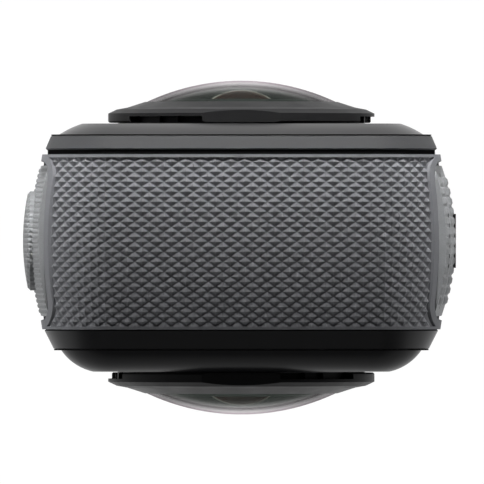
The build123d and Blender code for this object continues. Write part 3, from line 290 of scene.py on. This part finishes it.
def add_stud(points, faces, surface, centre, corners, height, cap):
    """One closed low pyramid, its foot just under the surface and its flat tip this share of the foot."""
    first = len(points)
    for u, v in corners:
        foot, normal = surface(centre[0] + u, centre[1] + v)
        points.append(foot - normal * STUD_SINK)
    for u, v in corners:
        foot, normal = surface(centre[0] + u * cap, centre[1] + v * cap)
        points.append(foot + normal * height)
    count = len(corners)
    faces.append(tuple(first + i for i in reversed(range(count))))
    faces.append(tuple(first + count + i for i in range(count)))
    for i in range(count):
        j = (i + 1) % count
        faces.append((first + i, first + j, first + count + j, first + count + i))


def grip_studs():
    """The staggered studs all round the grip band, left out at the pads and the base, cut short at its rims."""
    pitch = band_length() / STUD_COLUMNS
    half_u = pitch / 2 - STUD_GAP
    half_v = STUD_PITCH_Y / 2 - STUD_GAP * STUD_PITCH_Y / pitch
    reach = BAND_HALF_DEPTH - EDGE_RIM / 3
    rows = int(BAND_HALF_DEPTH * 2 / STUD_PITCH_Y * 2) + 2
    points, faces = [], []
    for row in range(-rows // 2, rows // 2 + 1):
        y = BAND_MIDDLE + STUD_SHIFT_Y + row * STUD_PITCH_Y / 2
        back = min(half_v, reach - (y - BAND_MIDDLE))
        front = min(half_v, reach + (y - BAND_MIDDLE))
        if min(back, front) < half_v * STUD_LEAST_SHARE:
            continue
        corners = ((half_u, 0), (0, back), (-half_u, 0), (0, -front))
        for column in range(STUD_COLUMNS):
            s = STUD_SHIFT_S + (column + (row % 2) / 2) * pitch
            spot = band_surface(s, y)[0]
            if abs(spot.x) > HALF_WIDTH - CORNER and in_window(y, spot.z):
                continue
            feet = [band_surface(s + u, y + v)[0] for u, v in corners]
            if spot.z < BODY_BOTTOM + CORNER and any(in_base(foot.x, foot.y) for foot in feet):
                continue
            add_stud(points, faces, band_surface, (s, y), corners, STUD_HEIGHT, STUD_CAP_SHARE)
    return mesh_object("grip_studs", points, faces, "camera")


def pad_studs(name, surface, body, span, blocked, pitch, height):
    """Square blunt studs over one pad between two heights, except where blocked says so."""
    half = pitch / 2 - STUD_GAP / 2
    corners = ((half, half), (-half, half), (-half, -half), (half, -half))
    points, faces = [], []
    columns = int(PAD_HALF_DEPTH / pitch)
    rows = int((PAD_TOP - PAD_BOTTOM) / pitch)
    start = (PAD_TOP + PAD_BOTTOM) / 2 - (rows - 1) / 2 * pitch
    for row in range(rows):
        z = start + row * pitch
        if z - half < span[0] or z + half > span[1]:
            continue
        for column in range(-columns, columns + 1):
            y = SIDE_MIDDLE + column * pitch
            feet = [(y + v, z + u) for u, v in corners]
            if all(in_pad(*foot) and not blocked(*foot) for foot in feet):
                add_stud(points, faces, surface, (z, y), corners, height, PAD_CAP_SHARE)
    return mesh_object(name, points, faces, body)


def ring_faces(sections, sides, closed):
    """The side faces of a strip whose sections have this many points each, in order."""
    faces = []
    for i in range(sections if closed else sections - 1):
        a, b = sides * i, sides * ((i + 1) % sections)
        for j in range(sides):
            k = (j + 1) % sides
            faces.append((a + j, b + j, b + k, a + k))
    return faces


def seam_line(name, y, reach):
    """A dark seam round the body at depth y: a thin closed loop that stands a hair proud of the joint."""
    points = []
    for quarter, (side_x, side_z) in enumerate(((1, 1), (1, -1), (-1, -1), (-1, 1))):
        x = side_x * (HALF_WIDTH - CORNER)
        z = BODY_TOP - CORNER if side_z > 0 else BODY_BOTTOM + CORNER
        for i in range(SEAM_STEPS + 1):
            turn = (quarter + i / SEAM_STEPS) * math.pi / 2
            for rise, side in ((-SEAM_SINK, -1), (SEAM_PROUD, -1), (SEAM_PROUD, 1), (-SEAM_SINK, 1)):
                r = CORNER + reach + rise
                points.append((x + math.sin(turn) * r, y + side * SEAM_WIDTH / 2, z + math.cos(turn) * r))
    faces = ring_faces(len(points) // 4, 4, closed=True)
    return mesh_object(name, points, faces, "camera")


def thread_ridges():
    """The ridges of the tripod thread, one closed screw-shaped strip in the insert's bore."""
    total = int(THREAD_STEPS * (THREAD_LENGTH / THREAD_TURN - 1))
    root = THREAD_RADIUS + THREAD_SINK
    points = []
    for i in range(total + 1):
        angle = 2 * math.pi * i / THREAD_STEPS
        z = THREAD_START + THREAD_HALF_WIDTH + THREAD_TURN * i / THREAD_STEPS
        taper = min(1.0, i / THREAD_STEPS * 4, (total - i) / THREAD_STEPS * 4)
        tip = THREAD_RADIUS - THREAD_DEPTH * taper + THREAD_END_SINK
        for radius, lift in ((tip, 0), (root, -THREAD_HALF_WIDTH), (root, THREAD_HALF_WIDTH)):
            points.append((radius * math.cos(angle), SIDE_MIDDLE + radius * math.sin(angle), z + lift))
    faces = ring_faces(total + 1, 3, closed=False)
    faces += [(0, 1, 2), (3 * total + 2, 3 * total + 1, 3 * total)]
    return mesh_object("thread_ridges", points, faces, "camera")


# Material nodes

def new_material(name):
    """An empty material, its nodes and links."""
    made = bpy.data.materials.new(name)
    made.use_nodes = True
    tree = made.node_tree
    tree.nodes.clear()
    return made, tree.nodes, tree.links


def put(links, socket, value):
    """Link an input to a node's output, or set it to a plain value."""
    if isinstance(value, bpy.types.NodeSocket):
        links.new(value, socket)
    else:
        socket.default_value = value


def calculated(nodes, links, operation, *values):
    """The result of a Math node."""
    node = nodes.new("ShaderNodeMath")
    node.operation = operation
    for socket, value in zip(node.inputs, values):
        put(links, socket, value)
    return node.outputs[0]


def ranged(nodes, links, value, span, low, high, smooth=False):
    """A value brought from a span to a range from low to high."""
    node = nodes.new("ShaderNodeMapRange")
    if smooth:
        node.interpolation_type = "SMOOTHSTEP"
    put(links, node.inputs["Value"], value)
    for name, level in (("From Min", span[0]), ("From Max", span[1]), ("To Min", low), ("To Max", high)):
        put(links, node.inputs[name], level)
    return node.outputs["Result"]


def noise(nodes, links, place, scale, detail, distortion=0.0):
    """The level of a noise texture."""
    node = nodes.new("ShaderNodeTexNoise")
    node.inputs["Scale"].default_value = scale
    node.inputs["Detail"].default_value = detail
    node.inputs["Distortion"].default_value = distortion
    links.new(place, node.inputs["Vector"])
    return node.outputs["Fac"]


def ramp(nodes, links, value, stops):
    """A colour that follows a value: stops of (value, colour)."""
    node = nodes.new("ShaderNodeValToRGB")
    elements = node.color_ramp.elements
    while len(elements) < len(stops):
        elements.new(0.5)
    for element, (position, colour) in zip(elements, stops):
        element.position = position
        element.color = tuple(colour) + (1,)
    links.new(value, node.inputs["Fac"])
    return node.outputs["Color"]


def bumped(nodes, links, height, strength, distance, normal=None):
    """A normal that follows a height."""
    node = nodes.new("ShaderNodeBump")
    node.inputs["Strength"].default_value = strength
    node.inputs["Distance"].default_value = distance
    links.new(height, node.inputs["Height"])
    if normal:
        links.new(normal, node.inputs["Normal"])
    return node.outputs["Normal"]


# Materials

def moulded(name, colour, rough=0.5, metal=0.0, grain=5200.0, bump=0.2, depth=0.03 * MM, spread=0.1,
            rough_spread=0.1, coat=0.0, specular=0.5, scuffs=0.0, stretch=(1, 1, 1), studs=0.0):
    """A solid surface: fine grain in its bump, slow changes in its colour and sheen.

    scuffs is how strong its light scuffs are, and studs the pitch of its small square studs.
    """
    made, nodes, links = new_material(name)
    out = nodes.new("ShaderNodeOutputMaterial")
    shader = nodes.new("ShaderNodeBsdfPrincipled")
    place = nodes.new("ShaderNodeTexCoord").outputs["Object"]
    scaled = nodes.new("ShaderNodeMapping")
    scaled.inputs["Scale"].default_value = stretch
    links.new(place, scaled.inputs["Vector"])
    fine = noise(nodes, links, scaled.outputs["Vector"], grain, 3.0)
    broad = noise(nodes, links, scaled.outputs["Vector"], grain / BROAD_SHARE, 4.0)
    halved = calculated(nodes, links, "MULTIPLY", broad, 0.5)
    both = calculated(nodes, links, "MULTIPLY_ADD", fine, 0.5, halved)
    darker, lighter = [c * (1 - spread) for c in colour], [c * (1 + spread) for c in colour]
    base = ramp(nodes, links, both, list(zip(COLOUR_SPAN, (darker, lighter))))
    if scuffs:
        streaks = noise(nodes, links, place, SCUFF_GRAIN, 8.0, 1.5)
        worn = nodes.new("ShaderNodeMix")
        worn.data_type = "RGBA"
        worn.inputs["B"].default_value = tuple(min(1, c * 1.6 + 0.02) for c in colour) + (1,)
        links.new(ranged(nodes, links, streaks, SCUFF_SPAN, 0.0, scuffs), worn.inputs["Factor"])
        links.new(base, worn.inputs["A"])
        base = worn.outputs["Result"]
    normal = bumped(nodes, links, fine, bump, depth)
    if studs:
        split = nodes.new("ShaderNodeSeparateXYZ")
        links.new(place, split.inputs["Vector"])
        folds = [calculated(nodes, links, "PINGPONG", split.outputs[axis], studs / 2) for axis in "YZ"]
        lower = calculated(nodes, links, "MINIMUM", *folds)
        normal = bumped(nodes, links, lower, 1.0, FINE_STUD_BUMP, normal)
    sheen = ranged(nodes, links, broad, (0.0, 1.0), max(0.02, rough - rough_spread), min(1.0, rough + rough_spread))
    links.new(base, shader.inputs["Base Color"])
    links.new(sheen, shader.inputs["Roughness"])
    links.new(normal, shader.inputs["Normal"])
    shader.inputs["Metallic"].default_value = metal
    shader.inputs["Specular IOR Level"].default_value = specular
    shader.inputs["Coat Weight"].default_value = coat
    shader.inputs["Coat Roughness"].default_value = COAT_ROUGHNESS
    links.new(shader.outputs["BSDF"], out.inputs["Surface"])
    return made


def brushed(name, colour, rough=0.3, along=(1, 1, 30)):
    """A metal surface with fine drawn lines."""
    return moulded(name, colour, rough=rough, metal=1.0, grain=1800.0, bump=0.12, depth=0.01 * MM,
                   spread=0.06, rough_spread=0.08, stretch=along)


def tinted_glass(name, tint, film, share, painted_sheen_share, painted_shade_low=1.0, painted_side_fade=1.0, rough=0.02):
    """Coated glass: a tint to look through and a coloured film, both by how slantwise the surface is seen.

    share is how much of the film is seen, and haze how much of the film is a diffuse painted sheen, pale towards the
    rim, that stands in for reflection. painted_shade_low is how deep a painted shade makes the tint in the lower
    half of the lens, and painted_side_fade how much of the film a painted shade leaves at its sides.
    """
    made, nodes, links = new_material(name)
    out = nodes.new("ShaderNodeOutputMaterial")
    through = nodes.new("ShaderNodeBsdfTransparent")
    gloss = nodes.new("ShaderNodeBsdfGlossy")
    painted_sheen_diffuse = nodes.new("ShaderNodeBsdfDiffuse")
    place = nodes.new("ShaderNodeTexCoord").outputs["Object"]
    split = nodes.new("ShaderNodeSeparateXYZ")
    links.new(place, split.inputs["Vector"])
    rim = nodes.new("ShaderNodeLayerWeight")
    rim.inputs["Blend"].default_value = 0.5
    slant = rim.outputs["Facing"]

    smear = noise(nodes, links, place, SMEAR_GRAIN, 5.0)
    links.new(ranged(nodes, links, smear, SMEAR_SPAN, rough, rough + SMEAR_SPREAD), gloss.inputs["Roughness"])

    look_through = nodes.new("ShaderNodeVectorMath")
    look_through.operation = "SCALE"
    # Painted shade: the tint to look through is darkened in the lower half of the lens, by height
    blend = (LENS_HEIGHT - PAINTED_SHADE_BLEND, LENS_HEIGHT + PAINTED_SHADE_BLEND)
    painted_shade_lower_half = ranged(nodes, links, split.outputs["Z"], blend, painted_shade_low, 1.0, smooth=True)
    links.new(ramp(nodes, links, slant, tint), look_through.inputs["Vector"])
    links.new(painted_shade_lower_half, look_through.inputs["Scale"])
    links.new(look_through.outputs["Vector"], through.inputs["Color"])

    film_colour = ramp(nodes, links, slant, film)
    # Painted sheen: the diffuse part of the film takes the film's colour, pale towards the rim, to stand in for
    # reflection; the lamps light it
    coat = nodes.new("ShaderNodeMixShader")
    coat.inputs["Fac"].default_value = painted_sheen_share
    for shader, socket in ((gloss, 1), (painted_sheen_diffuse, 2)):
        links.new(film_colour, shader.inputs["Color"])
        links.new(shader.outputs["BSDF"], coat.inputs[socket])

    # Painted shade: the film, its gloss and its sheen alike, fades from the middle towards the sides of the lens, by
    # place
    across = calculated(nodes, links, "ABSOLUTE", split.outputs["X"])
    painted_side_fade_mask = ranged(nodes, links, across, (PAINTED_FADE_INNER, PAINTED_FADE_OUTER), 1.0, painted_side_fade)
    levels = ramp(nodes, links, slant, [(position, (level, level, level)) for position, level in share])
    mixed = nodes.new("ShaderNodeMixShader")
    links.new(calculated(nodes, links, "MULTIPLY", levels, painted_side_fade_mask), mixed.inputs["Fac"])
    links.new(through.outputs["BSDF"], mixed.inputs[1])
    links.new(coat.outputs["Shader"], mixed.inputs[2])
    links.new(mixed.outputs["Shader"], out.inputs["Surface"])
    return made


MOULDED = {
    # Outside
    "grip_rubber": dict(colour=(0.15, 0.153, 0.162), rough=0.62, bump=0.25, specular=0.25, scuffs=0.15),
    "grip_base": dict(colour=(0.145, 0.148, 0.157), rough=0.62, spread=0.08, specular=0.2),
    "pad_rubber": dict(colour=(0.215, 0.221, 0.226), rough=0.62, bump=0.25, specular=0.3),
    "button": dict(colour=(0.2, 0.206, 0.21), rough=0.62, bump=0.25, specular=0.3, studs=FINE_STUD_PITCH),
    "front_plastic": dict(colour=(0.012, 0.0122, 0.013), rough=0.34, bump=0.08, rough_spread=0.04, specular=0.2),
    "front_face": dict(colour=(0.008, 0.0082, 0.009), rough=0.3, bump=0.08, rough_spread=0.04, specular=0.07),
    "back_plastic": dict(colour=(0.016, 0.016, 0.0165), rough=0.3, bump=0.03, spread=0.05, rough_spread=0.02,
                         specular=0.4),
    # Painted sheen: the back bezel is the same black plastic as the front bezel, lighter here to stand in for the
    # key lamp's sheen
    "back_rim": dict(colour=(0.047, 0.0475, 0.049), rough=0.6, spread=0.06, specular=0.12),
    "seal": dict(colour=(0.006, 0.006, 0.006), rough=0.7, grain=3600, bump=0.15, specular=0.0),
    "screen_glass": dict(colour=(0.002, 0.002, 0.0025), rough=0.08, grain=600, bump=0.01, rough_spread=0.02,
                         specular=0.15),
    "latch": dict(colour=(0.02, 0.02, 0.021), rough=0.42),
    "door": dict(colour=(0.03, 0.03, 0.032), rough=0.45),
    "light": dict(colour=(0.5, 0.52, 0.5), rough=0.25, grain=3000, bump=0.1, coat=0.4),
    # Lenses
    "ring": dict(colour=(0.015, 0.015, 0.0155), rough=0.42, grain=5600, bump=0.12, specular=0.035),
    "cone": dict(colour=(0.004, 0.004, 0.0045), rough=0.4, grain=4200, bump=0.12, specular=0.08),
    "barrel": dict(colour=(0.003, 0.003, 0.0035), bump=0.3),
    "sensor": dict(colour=(0.02, 0.03, 0.05), rough=0.12, metal=0.6, grain=9000, bump=0.1, coat=0.8),
    # Inside
    "board": dict(colour=(0.008, 0.045, 0.02), rough=0.4, grain=900, bump=0.3, spread=0.35, coat=0.3),
    "chassis": dict(colour=(0.12, 0.12, 0.125), rough=0.42, metal=0.9, grain=3200, bump=0.25),
    "panel": dict(colour=(0.004, 0.004, 0.005), rough=0.15, grain=2000, bump=0.05),
    "battery": dict(colour=(0.03, 0.03, 0.034), grain=4200),
    "card": dict(colour=(0.012, 0.012, 0.013), rough=0.4, grain=4200, bump=0.15),
    "speaker": dict(colour=(0.01, 0.01, 0.01), rough=0.7, grain=2400, bump=0.8, depth=0.1 * MM),
    "ceramic": dict(colour=(0.55, 0.53, 0.48), rough=0.55, grain=3800),
}
BRUSHED = {
    "spreader": dict(colour=(0.75, 0.4, 0.25), rough=0.35),
    "switch": dict(colour=(0.55, 0.55, 0.56)),
    "gold": dict(colour=(0.95, 0.66, 0.28), rough=0.22),
    "steel": dict(colour=(0.6, 0.6, 0.61), rough=0.28),
    "brass": dict(colour=(0.72, 0.55, 0.3)),
    "finger": dict(colour=(0.16, 0.16, 0.165), rough=0.36, along=(20, 1, 1)),
}
# Glass: each list has stops of how slantwise the surface is seen, and the colour or share there
GLASS = {
    "dome_glass": dict(
        tint=((0, (0.86, 0.9, 0.88)), (0.5, (0.76, 0.79, 0.77)), (0.66, (0.66, 0.7, 0.67)), (0.8, (0.6, 0.6, 0.6))),
        film=((0.5, (0.5, 0.62, 0.56)), (0.76, (0.8, 0.78, 0.78)), (0.84, (1, 0.96, 0.98)), (1, (0.9, 0.72, 0.82))),
        share=((0.3, 0.02), (0.7, 0.025), (0.76, 0.12), (0.8, 0.32), (0.85, 0.64), (1, 0.42)),
        # The dome: a painted shade deepens its tint in its lower half and fades its film at its sides
        painted_sheen_share=0.1, painted_shade_low=0.28, painted_side_fade=0.3),
    "eye_glass": dict(
        tint=((0, (0.5, 0.36, 0.32)), (0.6, (0.25, 0.1, 0.08))),
        film=((0.3, (0.5, 0.2, 0.15)), (0.7, (0.7, 0.25, 0.18)), (0.85, (1, 0.9, 0.85))),
        share=((0.2, 0.03), (0.6, 0.1), (0.74, 0.16), (0.82, 1)),
        # Most of the eye's film is painted sheen, pale at its rim, lit by the lamps
        painted_sheen_share=0.85),
    "rear_glass": dict(
        tint=((0, (0.6, 0.7, 0.66)), (1, (0.4, 0.5, 0.46))),
        film=((0, (0.3, 0.5, 0.45)), (1, (0.6, 0.8, 0.75))),
        share=((0.2, 0.05), (1, 0.6)),
        painted_sheen_share=0.0),
}
finishes = {}
for kind, looks in ((moulded, MOULDED), (brushed, BRUSHED), (tinted_glass, GLASS)):
    for name, look in looks.items():
        finishes[name] = kind(name, **look)

# The nodes that take each finish, and the lens parts, which are there at the front and at the back
NODES = {
    "grip_base": "grip_band",
    "pad_rubber": "button_pad door_grip hinge_block",
    "button": "shutter_button mode_button",
    "front_plastic": "front_bezel",
    "front_face": "front_cover",
    "back_plastic": "back_cover",
    "back_rim": "back_bezel",
    "seal": "back_seal door_seal",
    "screen_glass": "touch_glass",
    "latch": "door_latch",
    "door": "door_panel battery_bay port_panel mount_base",
    "light": "status_lights",
    "board": "main_board button_board port_board",
    "chassis": "chassis",
    "panel": "display_panel",
    "battery": "battery",
    "card": "memory_card",
    "speaker": "speaker",
    "ceramic": "gps_antenna",
    "spreader": "heat_plate",
    "switch": "button_switches",
    "gold": "battery_contacts",
    "steel": "hinge_pin microphones usb_c_port card_slot base_screws finger_pins",
    "brass": "thread_insert",
    "finger": "left_finger right_finger",
}
LENS_PARTS = {
    "ring": "lens_ring",
    "cone": "dome_cone",
    "barrel": "lens_barrel",
    "sensor": "image_sensor",
    "seal": "dome_seal",
    "door": "lens_mount",
    "board": "sensor_board",
    "dome_glass": "dome_glass",
    "eye_glass": "fisheye_glass",
    "rear_glass": "rear_glass",
}


def finish_nodes():
    """Give every node of the frame its finish."""
    chosen = {node: finish for finish, names in NODES.items() for node in names.split()}
    for end in ("front", "back"):
        chosen.update({f"{end}_{part}": finish for finish, part in LENS_PARTS.items()})
    for name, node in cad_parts.items():
        node.data.materials.clear()
        node.data.materials.append(finishes[chosen[name]])


def add_pieces():
    """Make the pieces that the frame doesn't have, each with its finish."""
    button_face = pad_surface(BUTTON_CREST, -1)
    door_face = pad_surface(DOOR_CREST, 1)
    made = (
        ("grip_rubber", grip_studs()),
        ("pad_rubber", pad_studs("button_pad_studs", button_face, "camera", (PAD_BOTTOM, PAD_TOP), near_buttons,
                                 FINE_STUD_PITCH, FINE_STUD_HEIGHT)),
        ("pad_rubber", pad_studs("door_studs", door_face, "door", (PAD_BOTTOM, DOOR_STUDS_TOP), near_latch,
                                 DOOR_STUD_PITCH, DOOR_STUD_HEIGHT)),
        ("pad_rubber", pad_studs("hinge_block_studs", door_face, "camera", (HINGE_STUDS_BOTTOM, PAD_TOP), nowhere,
                                 DOOR_STUD_PITCH, DOOR_STUD_HEIGHT)),
        ("brass", thread_ridges()),
        ("seal", seam_line("back_seam", BACK_SEAM_Y, BACK_SEAM_REACH)),
        ("seal", seam_line("front_seam", FRONT_SEAM_Y, FRONT_SEAM_REACH)),
    )
    for finish, piece in made:
        piece.data.materials.append(finishes[finish])


# Studio

def seen_as_background(nodes, links):
    """1 for rays that show the background: straight, mirrored, or through glass."""
    path = nodes.new("ShaderNodeLightPath")
    total = path.outputs["Is Camera Ray"]
    for kind in ("Is Glossy Ray", "Is Transmission Ray"):
        total = calculated(nodes, links, "MAXIMUM", total, path.outputs[kind])
    return total


def stage_floor():
    """A pale floor that shows white to the camera and keeps the object's soft shadow."""
    side = FLOOR_REACH
    mesh = bpy.data.meshes.new("floor")
    mesh.from_pydata([(-side, -side, 0), (side, -side, 0), (side, side, 0), (-side, side, 0)], [], [(0, 1, 2, 3)])
    floor = bpy.data.objects.new("floor", mesh)
    bpy.context.scene.collection.objects.link(floor)
    floor.location.z = -FLOOR_DROP
    made, nodes, links = new_material("floor")
    out = nodes.new("ShaderNodeOutputMaterial")
    matt = nodes.new("ShaderNodeBsdfDiffuse")
    matt.inputs["Color"].default_value = (FLOOR_GREY, FLOOR_GREY, FLOOR_GREY, 1)
    glow = nodes.new("ShaderNodeEmission")
    glow.inputs["Color"].default_value = (1, 1, 1, 1)
    glow.inputs["Strength"].default_value = FLOOR_GLOW
    mixed = nodes.new("ShaderNodeMixShader")
    share = calculated(nodes, links, "MULTIPLY", seen_as_background(nodes, links), FLOOR_GLOW_SHARE)
    links.new(share, mixed.inputs["Fac"])
    links.new(matt.outputs["BSDF"], mixed.inputs[1])
    links.new(glow.outputs["Emission"], mixed.inputs[2])
    links.new(mixed.outputs["Shader"], out.inputs["Surface"])
    mesh.materials.append(made)


def world_light(strength):
    """Even light all round, white to the camera, and white up to the ceiling in reflections."""
    world = bpy.data.worlds.new("studio")
    bpy.context.scene.world = world
    world.use_nodes = True
    nodes, links = world.node_tree.nodes, world.node_tree.links
    nodes.clear()
    out = nodes.new("ShaderNodeOutputWorld")
    glow = nodes.new("ShaderNodeBackground")
    glow.inputs["Color"].default_value = (1, 1, 1, 1)
    path = nodes.new("ShaderNodeLightPath")
    split = nodes.new("ShaderNodeSeparateXYZ")
    links.new(nodes.new("ShaderNodeTexCoord").outputs["Generated"], split.inputs["Vector"])
    mirrored = ranged(nodes, links, split.outputs["Z"], (0.0, CEILING), 1.0, strength, smooth=True)
    shown = calculated(nodes, links, "MAXIMUM", mirrored, path.outputs["Is Camera Ray"])
    level = nodes.new("ShaderNodeMix")
    level.inputs["A"].default_value = strength
    links.new(shown, level.inputs["B"])
    links.new(seen_as_background(nodes, links), level.inputs["Factor"])
    links.new(level.outputs["Result"], glow.inputs["Strength"])
    links.new(glow.outputs["Background"], out.inputs["Surface"])


def add_lamp(name, place, size, power, aim=LAMP_AIM, spread=180, mirrored=True):
    """A rectangular softbox at a place, turned to the point it lights, its beam this wide in degrees."""
    light = bpy.data.lights.new(name, "AREA")
    light.shape = "RECTANGLE"
    light.size, light.size_y = size
    light.energy = power
    light.spread = math.radians(spread)
    made = bpy.data.objects.new(name, light)
    made.visible_camera = False
    made.visible_glossy = mirrored
    bpy.context.scene.collection.objects.link(made)
    made.location = place
    made.rotation_euler = (Vector(aim) - Vector(place)).to_track_quat("-Z", "Y").to_euler()


def add_camera():
    """The camera, straight above the object."""
    view = bpy.data.cameras.new("camera")
    view.lens = LENS
    view.sensor_width = SENSOR
    view.clip_start, view.clip_end = CLIP_NEAR, CLIP_FAR
    camera = bpy.data.objects.new("view", view)
    bpy.context.scene.collection.objects.link(camera)
    camera.location = (VIEW_X, VIEW_Y, FIELD_HEIGHT + FIELD * LENS / SENSOR)
    bpy.context.scene.camera = camera


finish_nodes()
add_pieces()
stage_floor()
world_light(WORLD_STRENGTH)
for name, setting in LAMPS.items():
    add_lamp(name, **setting)
add_camera()
bpy.context.scene.view_settings.view_transform = "Standard"
